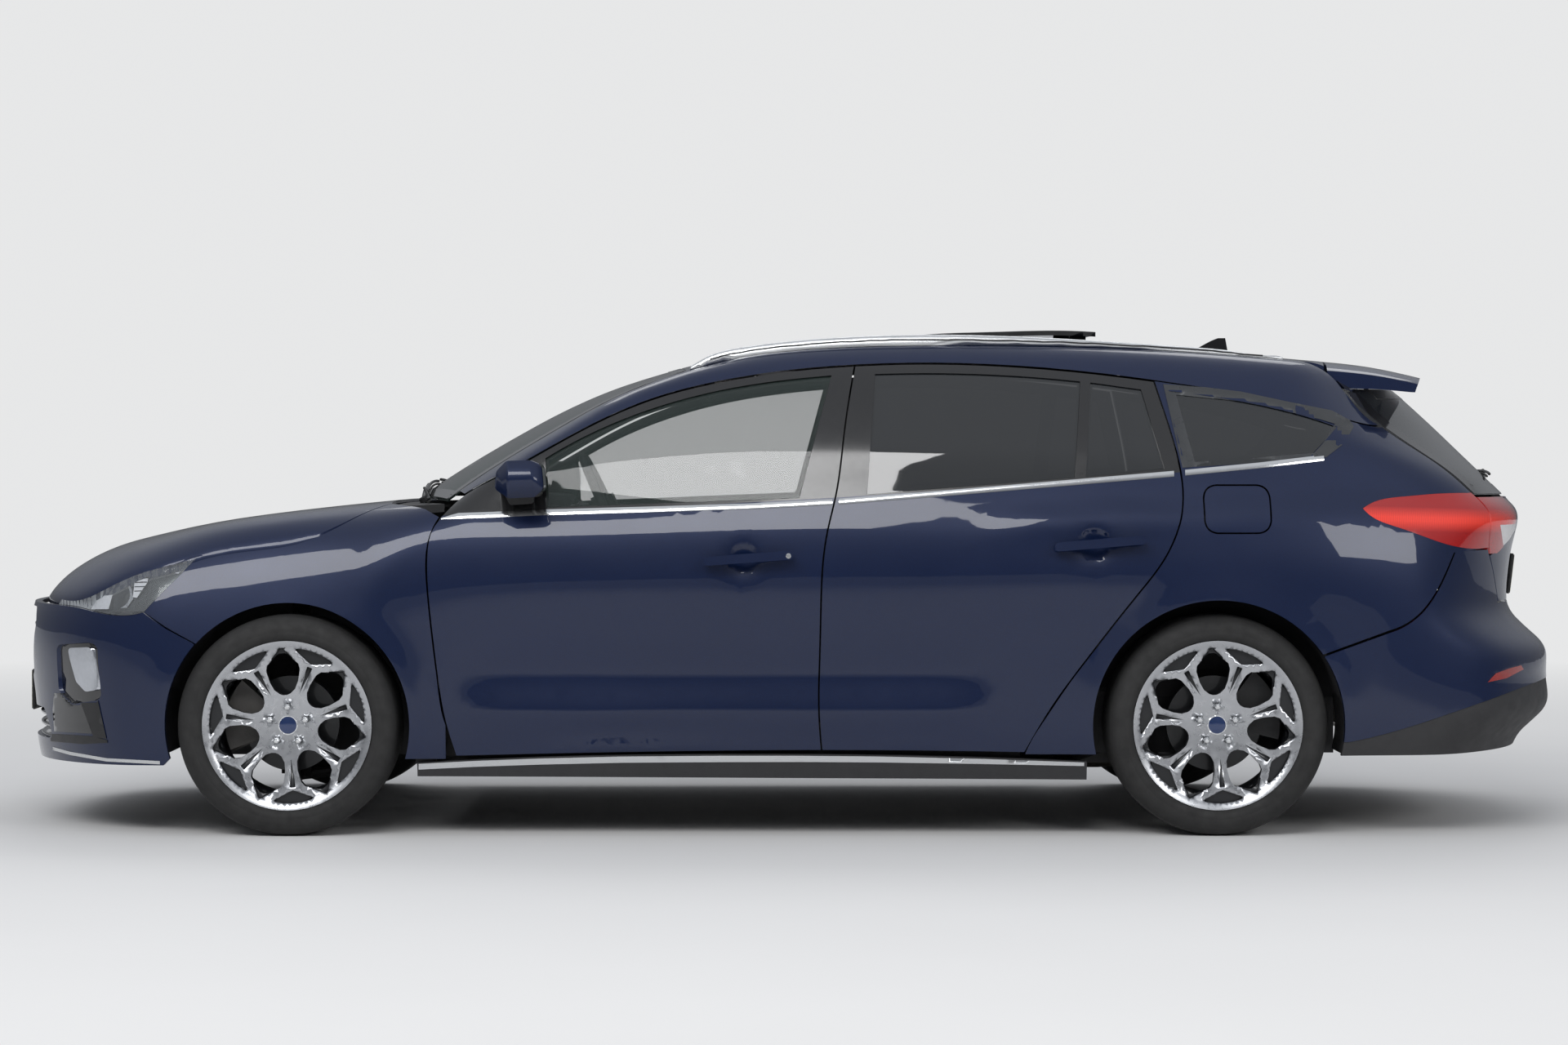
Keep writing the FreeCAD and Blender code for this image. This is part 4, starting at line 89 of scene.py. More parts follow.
class Graph:
    def __init__(self, name, color, rough, metal=0.0, **fixed):
        self.material = bpy.data.materials.new(name)
        self.material.use_nodes = True
        self.tree = self.material.node_tree
        self.shader = self.tree.nodes["Principled BSDF"]
        self.output = self.tree.nodes["Material Output"]
        self.shader.inputs["Base Color"].default_value = (*color, 1)
        self.shader.inputs["Roughness"].default_value = rough
        self.shader.inputs["Metallic"].default_value = metal
        for key, value in fixed.items():
            self.shader.inputs[key.replace("_", " ")].default_value = value
        self.place = self.node("ShaderNodeTexCoord").outputs["Object"]

    def node(self, kind, **settings):
        made = self.tree.nodes.new(kind)
        for key, value in settings.items():
            setattr(made, key, value)
        return made

    def link(self, a, b):
        self.tree.links.new(a, b)

    def math(self, operation, a, b=0.0, clamp=False):
        made = self.node("ShaderNodeMath", operation=operation, use_clamp=clamp)
        for socket, value in zip(made.inputs, (a, b)):
            if isinstance(value, (int, float)):
                socket.default_value = value
            else:
                self.link(value, socket)
        return made.outputs[0]

    def axes(self):
        parts = self.node("ShaderNodeSeparateXYZ")
        self.link(self.place, parts.inputs[0])
        return parts.outputs

    def noise(self, scale, detail=3.0, stretch=(1, 1, 1)):
        mapping = self.node("ShaderNodeMapping")
        mapping.inputs["Scale"].default_value = stretch
        self.link(self.place, mapping.inputs["Vector"])
        made = self.node("ShaderNodeTexNoise")
        made.inputs["Scale"].default_value = scale
        made.inputs["Detail"].default_value = detail
        self.link(mapping.outputs[0], made.inputs["Vector"])
        return made.outputs["Fac"]

    def blend(self, factor, a, b):
        made = self.node("ShaderNodeMix", data_type="RGBA")
        self.link(factor, made.inputs["Factor"])
        for socket, value in ((made.inputs["A"], a), (made.inputs["B"], b)):
            if isinstance(value, tuple):
                socket.default_value = (*value, 1)
            else:
                self.link(value, socket)
        return made.outputs["Result"]

    def span(self, value, low, high, from_low=0.0, from_high=1.0):
        made = self.node("ShaderNodeMapRange")
        self.link(value, made.inputs["Value"])
        for key, number in (("From Min", from_low), ("From Max", from_high),
                            ("To Min", low), ("To Max", high)):
            made.inputs[key].default_value = number
        return made.outputs[0]

    def tint(self, color, amount, scale, stretch=(1, 1, 1)):
        """Uneven colour: the base goes lighter and darker with a noise."""
        low = tuple(c * (1 - amount) for c in color)
        high = tuple(min(1, c * (1 + amount)) for c in color)
        result = self.blend(self.noise(scale, 4, stretch), low, high)
        self.link(result, self.shader.inputs["Base Color"])
        return result

    def rough(self, low, high, scale, stretch=(1, 1, 1)):
        self.link(self.span(self.noise(scale, 4, stretch), low, high, 0.3, 0.7),
                  self.shader.inputs["Roughness"])

    def bump(self, height, distance, strength=1.0):
        made = self.node("ShaderNodeBump")
        made.inputs["Strength"].default_value = strength
        made.inputs["Distance"].default_value = distance
        self.link(height, made.inputs["Height"])
        self.link(made.outputs[0], self.shader.inputs["Normal"])

    def second(self, factor, color, rough, metal=0.0, **fixed):
        """A second finish on the same piece where the factor is 1."""
        other = self.node("ShaderNodeBsdfPrincipled")
        other.inputs["Base Color"].default_value = (*color, 1)
        other.inputs["Roughness"].default_value = rough
        other.inputs["Metallic"].default_value = metal
        for key, value in fixed.items():
            other.inputs[key.replace("_", " ")].default_value = value
        mix = self.node("ShaderNodeMixShader")
        self.link(factor, mix.inputs["Fac"])
        self.link(self.output.inputs["Surface"].links[0].from_socket, mix.inputs[1])
        self.link(other.outputs[0], mix.inputs[2])
        self.link(mix.outputs[0], self.output.inputs["Surface"])
        return other


NAVY = (0.0036, 0.0085, 0.036)


def paint(name):
    graph = Graph(name, NAVY, 0.42, 0.25, Coat_Weight=1.0, Coat_Roughness=0.025, Coat_IOR=1.42,
                  Specular_IOR_Level=0.2)
    flakes = graph.node("ShaderNodeTexVoronoi")
    flakes.inputs["Scale"].default_value = 900
    graph.link(graph.place, flakes.inputs["Vector"])
    base = graph.blend(graph.noise(2.2, 2), tuple(c * 0.9 for c in NAVY), tuple(c * 1.12 for c in NAVY))
    lit = graph.blend(graph.span(flakes.outputs["Distance"], 0.0, 0.6, 0.35, 0.7), base,
                      (0.003, 0.017, 0.070))
    graph.link(lit, graph.shader.inputs["Base Color"])
    graph.rough(0.34, 0.42, 6)
    return graph


def belt_height(graph, shift=0.0):
    """Height of a point over the belt line, which climbs towards the tail."""
    x, _, z = graph.axes()
    line = graph.math("ADD", graph.math("MULTIPLY", x, BELT[1]), BELT[0] + shift)
    curve = graph.math("MULTIPLY", graph.math("MULTIPLY", x, x), BELT[2])
    return graph.math("SUBTRACT", z, graph.math("ADD", line, curve))


BELT = (0.9755, 0.0570, 0.0125)

PAINT = paint("paint").material


def door_paint():
    """Body paint below the belt, black window surround above it."""
    graph = paint("door_paint")
    mask = graph.math("GREATER_THAN", belt_height(graph), 0.0)
    black = graph.second(mask, (0.009, 0.009, 0.010), 0.16, Coat_Weight=0.6, Coat_Roughness=0.1)
    grain = graph.span(graph.noise(60, 3), 0.14, 0.24)
    graph.link(grain, black.inputs["Roughness"])
    return graph.material


def plain(name, color, rough, metal=0.0, vary=0.15, scale=9.0, bump=0.0, grain=900.0,
          spread=0.06, stretch=(1, 1, 1), **fixed):
    """A finish with uneven colour, uneven gloss and, where stated, a fine grain."""
    graph = Graph(name, color, rough, metal, **fixed)
    graph.tint(color, vary, scale, stretch)
    graph.rough(max(0.0, rough - spread), min(1.0, rough + spread), scale * 3, stretch)
    if bump:
        graph.bump(graph.noise(grain, 2, stretch), bump)
    return graph.material


def glass(name, color, alpha, rough=0.02):
    """Tinted pane: see-through face on, mirror-like at a slant."""
    graph = Graph(name, color, rough, 0.0, IOR=1.52, Specular_IOR_Level=0.6,
                  Coat_Weight=1.0, Coat_Roughness=0.01)
    weight = graph.node("ShaderNodeLayerWeight")
    weight.inputs["Blend"].default_value = 0.35
    graph.link(graph.span(weight.outputs["Fresnel"], alpha, 1.0, 0.05, 0.9),
               graph.shader.inputs["Alpha"])
    graph.tint(color, 0.08, 3)
    return graph.material


DOOR_PAINT = door_paint()
GLOSS_BLACK = plain("gloss_black", (0.008, 0.008, 0.009), 0.1, vary=0.2, Coat_Weight=0.8,
                    Coat_Roughness=0.04)
TRIM_BLACK = plain("trim_black", (0.014, 0.014, 0.015), 0.38, vary=0.2, bump=0.0002)
PLASTIC = plain("grained_plastic", (0.022, 0.022, 0.024), 0.62, bump=0.0006, grain=700)
CABIN = plain("cabin_plastic", (0.03, 0.03, 0.033), 0.6, bump=0.0005, grain=800)
LINER_CLOTH = plain("headlining", (0.32, 0.31, 0.29), 0.95, bump=0.0005, grain=1500, Sheen_Weight=0.3)
CHROME = plain("chrome_trim", (0.78, 0.79, 0.8), 0.13, 1.0, vary=0.04, spread=0.03)
SATIN_RAIL = plain("satin_rail", (0.66, 0.67, 0.68), 0.3, 1.0, vary=0.04, stretch=(0.2, 8, 8))
ALLOY = plain("machined_alloy", (0.50, 0.51, 0.53), 0.3, 1.0, vary=0.04, scale=20)
DARK_ALLOY = plain("dark_alloy", (0.012, 0.013, 0.015), 0.36, 0.3, vary=0.12, Coat_Weight=0.3)
STEEL = plain("disc_steel", (0.36, 0.35, 0.34), 0.34, 1.0, vary=0.12, scale=30, bump=0.0002)
CAST = plain("cast_iron", (0.12, 0.115, 0.11), 0.62, 0.75, vary=0.25, bump=0.0008, grain=350)
CHASSIS = plain("chassis_black", (0.02, 0.02, 0.021), 0.5, 0.1, vary=0.3, bump=0.0005, grain=200)
EXHAUST = plain("exhaust_steel", (0.34, 0.31, 0.28), 0.4, 1.0, vary=0.25, scale=12, bump=0.0003)
RUBBER = plain("soft_rubber", (0.012, 0.012, 0.012), 0.75, vary=0.2, bump=0.0004, grain=600)
REFLECTOR = plain("bright_reflector", (0.85, 0.86, 0.88), 0.08, 1.0, vary=0.03, spread=0.03)
PLATE = plain("blank_plate", (0.78, 0.76, 0.62), 0.4, vary=0.03, bump=0.0002, Coat_Weight=0.5)
CLEAR_GLASS = glass("clear_glass", (0.05, 0.075, 0.068), 0.22)
PRIVACY_GLASS = glass("privacy_glass", (0.012, 0.014, 0.016), 0.80)
LENS = glass("clear_lens", (0.60, 0.63, 0.66), 0.16)


def red_lens():
    """Red lamp cover: brighter along its middle, fine upright ribs, a pale lower rear corner."""
    graph = Graph("red_lens", (0.5, 0.01, 0.008), 0.1, Coat_Weight=1.0, Coat_Roughness=0.015)
    x, _, z = graph.axes()
    middle = graph.math("ADD", graph.math("MULTIPLY", x, -0.03), 0.975)
    far = graph.math("ABSOLUTE", graph.math("SUBTRACT", z, middle))
    glow = graph.span(far, 1.0, 0.0, 0.006, 0.036)
    ribs = graph.node("ShaderNodeTexWave", bands_direction="X")
    ribs.inputs["Scale"].default_value = 55
    graph.link(graph.place, ribs.inputs["Vector"])
    bright = graph.math("MULTIPLY", glow, graph.span(ribs.outputs["Fac"], 0.72, 1.0), clamp=True)
    red = graph.blend(bright, (0.36, 0.004, 0.004), (0.95, 0.05, 0.025))
    low = graph.math("LESS_THAN", z, 0.90)
    back = graph.math("GREATER_THAN", graph.math("ADD", x, graph.math("MULTIPLY", z, 0.35)), 2.435)
    pale = graph.math("MULTIPLY", low, back)
    graph.link(graph.blend(pale, red, (0.72, 0.70, 0.70)), graph.shader.inputs["Base Color"])
    graph.rough(0.06, 0.13, 20)
    return graph.material


RED_LENS = red_lens()
MIRROR_GLASS = plain("mirror_glass", (0.8, 0.82, 0.84), 0.02, 1.0, vary=0.02, spread=0.01)
SILVER = plain("lamp_silver", (0.62, 0.64, 0.68), 0.2, 1.0, vary=0.1, scale=25)
AMBER = plain("amber_lens", (0.7, 0.22, 0.02), 0.15, vary=0.1, Coat_Weight=1.0)


def cloth():
    """Woven seat cloth: two crossing waves of thread with a fuzzy sheen."""
    graph = Graph("seat_cloth", (0.035, 0.035, 0.038), 0.9, Sheen_Weight=0.4, Sheen_Roughness=0.5)
    waves = []
    for direction in ("X", "Z"):
        wave = graph.node("ShaderNodeTexWave", bands_direction=direction)
        wave.inputs["Scale"].default_value = 260
        wave.inputs["Distortion"].default_value = 0.6
        graph.link(graph.place, wave.inputs["Vector"])
        waves.append(wave.outputs["Fac"])
    weave = graph.math("MULTIPLY", waves[0], waves[1])
    graph.link(graph.blend(weave, (0.022, 0.022, 0.024), (0.06, 0.06, 0.066)),
               graph.shader.inputs["Base Color"])
    graph.bump(weave, 0.0008)
    return graph.material


def leather():
    graph = Graph("wheel_leather", (0.02, 0.02, 0.021), 0.5)
    cells = graph.node("ShaderNodeTexVoronoi")
    cells.inputs["Scale"].default_value = 700
    graph.link(graph.place, cells.inputs["Vector"])
    graph.tint((0.02, 0.02, 0.021), 0.2, 40)
    graph.bump(cells.outputs["Distance"], 0.0005)
    return graph.material


def tyre_rubber():
    graph = Graph("tyre_rubber", (0.012, 0.012, 0.0125), 0.78)
    graph.link(graph.blend(graph.noise(14, 5), (0.010, 0.010, 0.0105), (0.022, 0.0215, 0.021)),
               graph.shader.inputs["Base Color"])
    graph.rough(0.66, 0.86, 30)
    graph.bump(graph.noise(420, 3), 0.0006)
    return graph.material


def carpet():
    graph = Graph("carpet", (0.025, 0.025, 0.027), 1.0, Sheen_Weight=0.3)
    graph.tint((0.028, 0.028, 0.03), 0.4, 300)
    graph.bump(graph.noise(900, 4), 0.002)
    return graph.material


CLOTH, LEATHER, TYRE, CARPET = cloth(), leather(), tyre_rubber(), carpet()


# Pieces.

def finish_mesh(mesh, angle=35):
    for face in mesh.polygons:
        face.use_smooth = True
    mesh.set_sharp_from_angle(angle=math.radians(angle))


def fitted_normals(mesh, reach=0.055, spacing=0.011, bend=40):
    """Normals from a curved patch fitted round each vertex, so that wide facets shade evenly."""
    count = len(mesh.vertices)
    points = np.empty(count * 3)
    mesh.vertices.foreach_get("co", points)
    points = points.reshape(-1, 3)
    mesh.calc_loop_triangles()
    triangles = np.empty(len(mesh.loop_triangles) * 3, dtype=np.int64)
    mesh.loop_triangles.foreach_get("vertices", triangles)
    triangles = triangles.reshape(-1, 3)
    a, b, c = (points[triangles[:, k]] for k in range(3))
    cross = np.cross(b - a, c - a)
    area = np.linalg.norm(cross, axis=1) / 2
    facing = cross / np.maximum(1e-12, 2 * area)[:, None]
    samples, looks = [], []
    for i in np.nonzero(area > 1e-9)[0]:
        steps = min(14, max(1, int(math.sqrt(2 * area[i]) / spacing + 0.5)))
        for u in range(steps):
            for v in range(steps - u):
                s, t = (u + 1 / 3) / steps, (v + 1 / 3) / steps
                samples.append(a[i] * (1 - s - t) + b[i] * s + c[i] * t)
                looks.append(facing[i])
    samples, looks = np.array(samples), np.array(looks)
    if len(samples) < 12:
        return
    tree = KDTree(len(samples))
    for i, point in enumerate(samples):
        tree.insert(point, i)
    tree.balance()
    limit = math.cos(math.radians(bend))
    done = {}
    custom = []
    normals = [np.array(p.normal) for p in mesh.polygons]
    for polygon, look in zip(mesh.polygons, normals):
        for vert in polygon.vertices:
            known = done.setdefault(vert, [])
            found = next((n for n, key in known if key.dot(look) > limit), None)
            if found is None:
                found = patch_normal(points[vert], look, tree, samples, looks, reach, limit)
                known.append((found, found if found.dot(look) > limit else look))
            custom.append(found)
    mesh.normals_split_custom_set([tuple(n) for n in custom])


def patch_normal(point, look, tree, samples, looks, reach, limit):
    near = [i for _, i, _ in tree.find_range(point, reach)]
    if len(near) > 110:
        near = near[::len(near) // 90 + 1]
    if len(near) < 8:
        return look
    near = np.array(near)
    near = near[looks[near] @ look > limit]
    if len(near) < 8:
        return look
    base = looks[near].mean(axis=0)
    base /= np.linalg.norm(base)
    side = np.cross(base, (0, 0, 1) if abs(base[2]) < 0.8 else (1, 0, 0))
    side /= np.linalg.norm(side)
    up = np.cross(base, side)
    gap = samples[near] - point
    x, y, z = gap @ side / reach, gap @ up / reach, gap @ base / reach
    keep = np.abs(z) < 0.5
    if keep.sum() < 8:
        return look
    x, y, z = x[keep], y[keep], z[keep]
    weight = np.exp(-2.5 * (x * x + y * y))
    terms = np.stack([np.ones_like(x), x, y, x * x, x * y, y * y], axis=1)
    left = terms.T @ (terms * weight[:, None]) + np.diag([1e-6, 1e-5, 1e-5, 2e-3, 2e-3, 2e-3])
    fit = np.linalg.solve(left, terms.T @ (z * weight))
    normal = base - side * fit[1] - up * fit[2]
    normal /= np.linalg.norm(normal)
    return normal if normal.dot(look) > 0.3 else look


def piece(name, mesh, materials, body):
    made = bpy.data.objects.new(name, mesh)
    bpy.context.scene.collection.objects.link(made)
    for material in materials:
        mesh.materials.append(material)
    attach(made, body)
    return made


def dress(node, materials, choose=None, angle=35, even=False):
    """A smooth-shaded copy of a CAD node, with a material chosen for each face."""
    mesh = NODES[node].data.copy()
    mesh.materials.clear()
    mesh.name = f"{node}_skin"
    work = bmesh.new()
    work.from_mesh(mesh)
    bmesh.ops.remove_doubles(work, verts=work.verts, dist=1e-6)
    work.to_mesh(mesh)
    work.free()
    if mesh.has_custom_normals:
        bpy.context.view_layer.update()
    made = piece(f"{node}_skin", mesh, materials, BODY_OF[node])
    if choose:
        for face in mesh.polygons:
            face.material_index = choose(face.center, face.normal)
    if even:
        for face in mesh.polygons:
            face.use_smooth = True
        fitted_normals(mesh)
    else:
        finish_mesh(mesh, angle)
    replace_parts(made, node)
    return made


def built(name, verts, faces, materials, body, angle=35):
    mesh = bpy.data.meshes.new(name)
    mesh.from_pydata([tuple(v) for v in verts], [], faces)
    work = bmesh.new()
    work.from_mesh(mesh)
    bmesh.ops.recalc_face_normals(work, faces=work.faces)
    work.to_mesh(mesh)
    work.free()
    finish_mesh(mesh, angle)
    return piece(name, mesh, materials, body)


class Parts:
    """Vertices and faces of several shells that make one piece."""

    def __init__(self):
        self.verts, self.faces, self.marks = [], [], []

    def add(self, verts, faces, mark=0):
        start = len(self.verts)
        self.verts += [Vector(v) for v in verts]
        self.faces += [tuple(start + i for i in face) for face in faces]
        self.marks += [mark] * len(faces)

    def grid(self, rows, closed=False, mark=0, capped=False):
        """A skin over rows of points; closed joins each row's ends."""
        count, wide = len(rows), len(rows[0])
        faces = []
        for i in range(count - 1):
            for j in range(wide if closed else wide - 1):
                k = (j + 1) % wide
                faces.append((i * wide + j, i * wide + k, (i + 1) * wide + k, (i + 1) * wide + j))
        if capped:
            faces.append(tuple(range(wide)))
            faces.append(tuple((count - 1) * wide + j for j in range(wide - 1, -1, -1)))
        self.add([p for row in rows for p in row], faces, mark)

    def block(self, centre, size, matrix=None, bevel=0.15, mark=0):
        """A box with softened edges."""
        work = bmesh.new()
        bmesh.ops.create_cube(work, size=1)
        for vert in work.verts:
            vert.co = Vector(c * s for c, s in zip(vert.co, size))
        bmesh.ops.bevel(work, geom=work.edges[:], offset=min(size) * bevel, segments=2,
                        affect="EDGES", clamp_overlap=True)
        if matrix:
            bmesh.ops.transform(work, matrix=matrix, verts=work.verts)
        bmesh.ops.translate(work, vec=Vector(centre), verts=work.verts)
        work.verts.index_update()
        self.add([v.co.copy() for v in work.verts],
                 [tuple(v.index for v in face.verts) for face in work.faces], mark)
        work.free()

    def tube(self, points, radius, sides=10, mark=0):
        rows = []
        for i, point in enumerate(points):
            here = Vector(point)
            ahead = (Vector(points[min(i + 1, len(points) - 1)])
                     - Vector(points[max(i - 1, 0)])).normalized()
            side = ahead.cross(Vector((0, 0, 1)))
            if side.length < 0.1:
                side = ahead.cross(Vector((1, 0, 0)))
            side.normalize()
            up = side.cross(ahead)
            wide = radius[i] if isinstance(radius, list) else radius
            rows.append([here + (side * math.cos(t) + up * math.sin(t)) * wide
                         for t in (2 * math.pi * k / sides for k in range(sides))])
        self.grid(rows, closed=True, mark=mark, capped=True)

    def turned(self, profile, origin, axis="Y", segments=32, mark=0):
        """A profile of (along, radius) pairs turned about an axis."""
        rows = []
        for along, radius in profile:
            row = []
            for k in range(segments):
                t = 2 * math.pi * k / segments
                a, b = radius * math.cos(t), radius * math.sin(t)
                point = {"Y": (a, along, b), "X": (along, a, b), "Z": (a, b, along)}[axis]
                row.append(Vector(origin) + Vector(point))
            rows.append(row)
        self.grid(rows, closed=True, mark=mark, capped=True)

    def make(self, name, materials, body, slot=None, mirror=False, angle=35):
        verts, faces, marks = list(self.verts), list(self.faces), list(self.marks)
        if mirror:
            start = len(verts)
            verts += [Vector((v.x, -v.y, v.z)) for v in self.verts]
            faces += [tuple(start + i for i in face[::-1]) for face in self.faces]
            marks += self.marks
        made = built(name, verts, faces, materials, body, angle)
        for face, mark in zip(made.data.polygons, marks):
            face.material_index = mark
        return made


def flipped(points, sign):
    return [Vector((p[0], p[1] * -sign, p[2])) for p in points]


class Skin:
    """A node's surface, for laying trim on it."""

    def __init__(self, *names):
        verts, faces = [], []
        for name in names:
            mesh = NODES[name].data
            start = len(verts)
            verts += [v.co.copy() for v in mesh.vertices]
            faces += [tuple(start + i for i in p.vertices) for p in mesh.polygons]
        self.tree = BVHTree.FromPolygons(verts, faces)

    def side(self, x, z, lift=0.0):
        """The left side's outer point at a station and height, or None."""
        hit = self.tree.ray_cast(Vector((x, -1.3, z)), Vector((0, 1, 0)))
        if hit[0] is None:
            return None
        normal = hit[1] if hit[1].y < 0 else -hit[1]
        return hit[0] + normal * lift

    def cast(self, start, direction, lift=0.0):
        hit = self.tree.ray_cast(Vector(start), Vector(direction).normalized())
        if hit[0] is None:
            return None
        normal = hit[1] if hit[1].dot(Vector(direction)) < 0 else -hit[1]
        return hit[0] + normal * lift


def ribbon(parts, rows, wall, mark=0):
    """A closed strip: rows of (outer point) pushed in by a wall for its back."""
    rows = [row for row in rows if all(p is not None for p in row)]
    if len(rows) < 2:
        return
    loops = []
    for row in rows:
        back = [p + Vector((0, wall * (-1 if p.y > 0 else 1), 0)) for p in row[::-1]]
        loops.append(row + back)
    parts.grid(loops, closed=True, mark=mark, capped=True)


# Car body: dressed copies of the CAD nodes.

def outward(centre, normal):
    return normal.y * (1 if centre.y > 0 else -1)


for node in ("bonnet", "roof", "front_fenders", "quarter_panels", "front_bumper", "rear_bumper",
             "tailgate_panel", "spoiler", "fuel_flap", "roof_sides"):
    inner = {"roof": LINER_CLOTH, "bonnet": CHASSIS, "tailgate_panel": CABIN}.get(node, CHASSIS)

    def inside(centre, normal, node=node):
        if node in ("roof", "bonnet", "spoiler"):
            return 1 if normal.z < -0.5 and node != "spoiler" else 0
        if node == "tailgate_panel":
            return 1 if normal.x < -0.5 else 0
        if node in ("front_bumper", "rear_bumper"):
            away = Vector((centre.x - (-1.6 if node == "front_bumper" else 1.5), centre.y, 0))
            return 1 if normal.dot(away.normalized()) < -0.35 else 0
        return 1 if outward(centre, normal) < -0.25 else 0
    dress(node, [PAINT, inner], inside, even=True)

for side, sign in SIDES:
    for door in ("front_door", "rear_door"):
        dress(f"{door}_{side}", [DOOR_PAINT, CABIN], lambda c, n: 1 if outward(c, n) < -0.3 else 0,
              even=True)
    dress(f"front_door_glass_{side}", [CLEAR_GLASS], even=True)
    dress(f"rear_door_glass_{side}", [PRIVACY_GLASS], even=True)
    dress(f"knuckle_{side}", [CAST])
    dress(f"mirror_{side}", [PAINT, TRIM_BLACK],
          lambda c, n: 1 if c.z < 1.0 or abs(c.y) < 0.845 else 0, angle=50)

EVEN = ("windscreen", "quarter_glass", "tailgate_glass", "tailgate_frame", "tail_lamps_body",
        "tail_lamps_gate", "lower_trims")

for node, material in (
        ("windscreen", CLEAR_GLASS), ("quarter_glass", PRIVACY_GLASS), ("tailgate_glass", PRIVACY_GLASS),
        ("tailgate_frame", GLOSS_BLACK), ("grilles", GLOSS_BLACK), ("roof_rails", SATIN_RAIL),
        ("antenna", GLOSS_BLACK), ("sills", CHASSIS), ("centre_posts", CABIN), ("engine", CAST),
        ("exhaust", EXHAUST), ("lower_trims", PLASTIC), ("cowl", PLASTIC), ("wheel_liners", PLASTIC),
        ("front_subframe", CHASSIS), ("rear_axle", CHASSIS), ("filler_bowl", PLASTIC),
        ("dashboard", CABIN), ("steering_wheel", LEATHER), ("tail_lamps_body", RED_LENS),
        ("tail_lamps_gate", RED_LENS)):
    dress(node, [material], even=node in EVEN)
dress("floor", [CHASSIS, CARPET], lambda c, n: 1 if n.z > 0.5 else 0)
dress("sunroof_glass", [PRIVACY_GLASS, TRIM_BLACK], lambda c, n: 0 if abs(n.z) > 0.5 and c.z > 1.46 else 1)
dress("front_lamps", [LENS, SILVER], lambda c, n: 1 if c.z < 0.60 else 0, even=True)
dress("front_seats", [CLOTH])
dress("rear_bench", [CLOTH])

for place, track, axle in AXLES:
    for side, sign in SIDES:
        def rim_face(centre, normal, sign=sign, track=track, axle=axle):
            radius = math.hypot(centre.x - axle, centre.z - HUB_HEIGHT)
            depth = RIM_HALF + 0.001 - (centre.y * sign - track)
            # The cut face of the spokes rises towards the rim's edge.
            front = RIM_CUT - 0.0100 * min(1, max(0, (radius - 0.060) / 0.126))
            front -= 0.0045 * min(1, max(0, (radius - 0.186) / 0.034))
            return 0 if normal.y * sign > 0.75 and depth < front else 1
        dress(f"rim_{place}_{side}", [ALLOY, DARK_ALLOY], rim_face, angle=25)
        dress(f"tyre_{place}_{side}", [TYRE])


# Bright strip along the foot of the side windows.

BELT_STRIP = 0.0165
BELT_LOW = [(-1.011, 0.9185), (-0.990, 0.9205), (-0.856, 0.925), (-0.706, 0.932), (-0.4, 0.9405),
            (-0.1, 0.950), (0.135, 0.962), (0.3, 0.975), (0.51, 0.992), (0.831, 1.019),
            (1.145, 1.046), (1.38, 1.069), (1.567, 1.091)]


def along(table, at):
    for (a, low), (b, high) in zip(table, table[1:]):
        if at <= b:
            return low + (high - low) * (at - a) / (b - a)
    return table[-1][1]


def stations(start, end, step):
    count = max(2, int(round((end - start) / step)) + 1)
    return [start + (end - start) * i / (count - 1) for i in range(count)]


def side_strip(name, skin, body_of, start, end, heights, mark, material, slot, step=0.01,
               lift=0.0022, wall=0.004, taper=0.0):
    """A raised strip on the body side, from station to station, crowned over its width."""
    rows = []
    for x in stations(start, end, step):
        low, high = heights(x)
        if taper:
            share = min(1.0, (x - start) / taper)
            high = low + (high - low) * (0.25 + 0.75 * share)
        row = []
        for k in range(5):
            z = low + (high - low) * k / 4
            crown = lift * (1 - 0.55 * abs(k / 2 - 1) ** 3)
            point = skin.side(x, z, crown)
            if point is None:
                break
            row.append(point)
        if len(row) == 5:
            rows.append(row)
    for side, sign in SIDES:
        parts = Parts()
        ribbon(parts, [flipped(row, sign) for row in rows], wall, mark)
        if parts.faces:
            parts.make(f"{name}_{side}", [material], body_of(side), slot)


def belt(x):
    low = along(BELT_LOW, x)
    return low, low + BELT_STRIP


FRONT_DOOR = Skin("front_door_left")
REAR_DOOR = Skin("rear_door_left")
QUARTER = Skin("quarter_panels", "roof_sides")
side_strip("belt_strip_front", FRONT_DOOR, lambda s: f"front_door_{s}_body", -1.005, 0.131, belt, 0,
           CHROME, "bright_rail", taper=0.05)
side_strip("belt_strip_rear", REAR_DOOR, lambda s: f"rear_door_{s}_body", 0.140, 1.125, belt, 0,
           CHROME, "bright_rail")
side_strip("belt_strip_quarter", QUARTER, lambda s: ROOT, 1.108, 1.567, belt, 0, CHROME, "bright_rail")


# The lock beside the driver's grip.

lock = FRONT_DOOR.cast((0.004, -1.3, 0.816), (0, 1, 0))
parts = Parts()
parts.turned([(0.003, 0.0075), (-0.0015, 0.0075), (-0.003, 0.006)], lock, "Y", 20)
parts.make("door_lock_left", [CHROME], "front_door_left_body", "bright_rail")


# Edges of a pane, for its black border and seals.

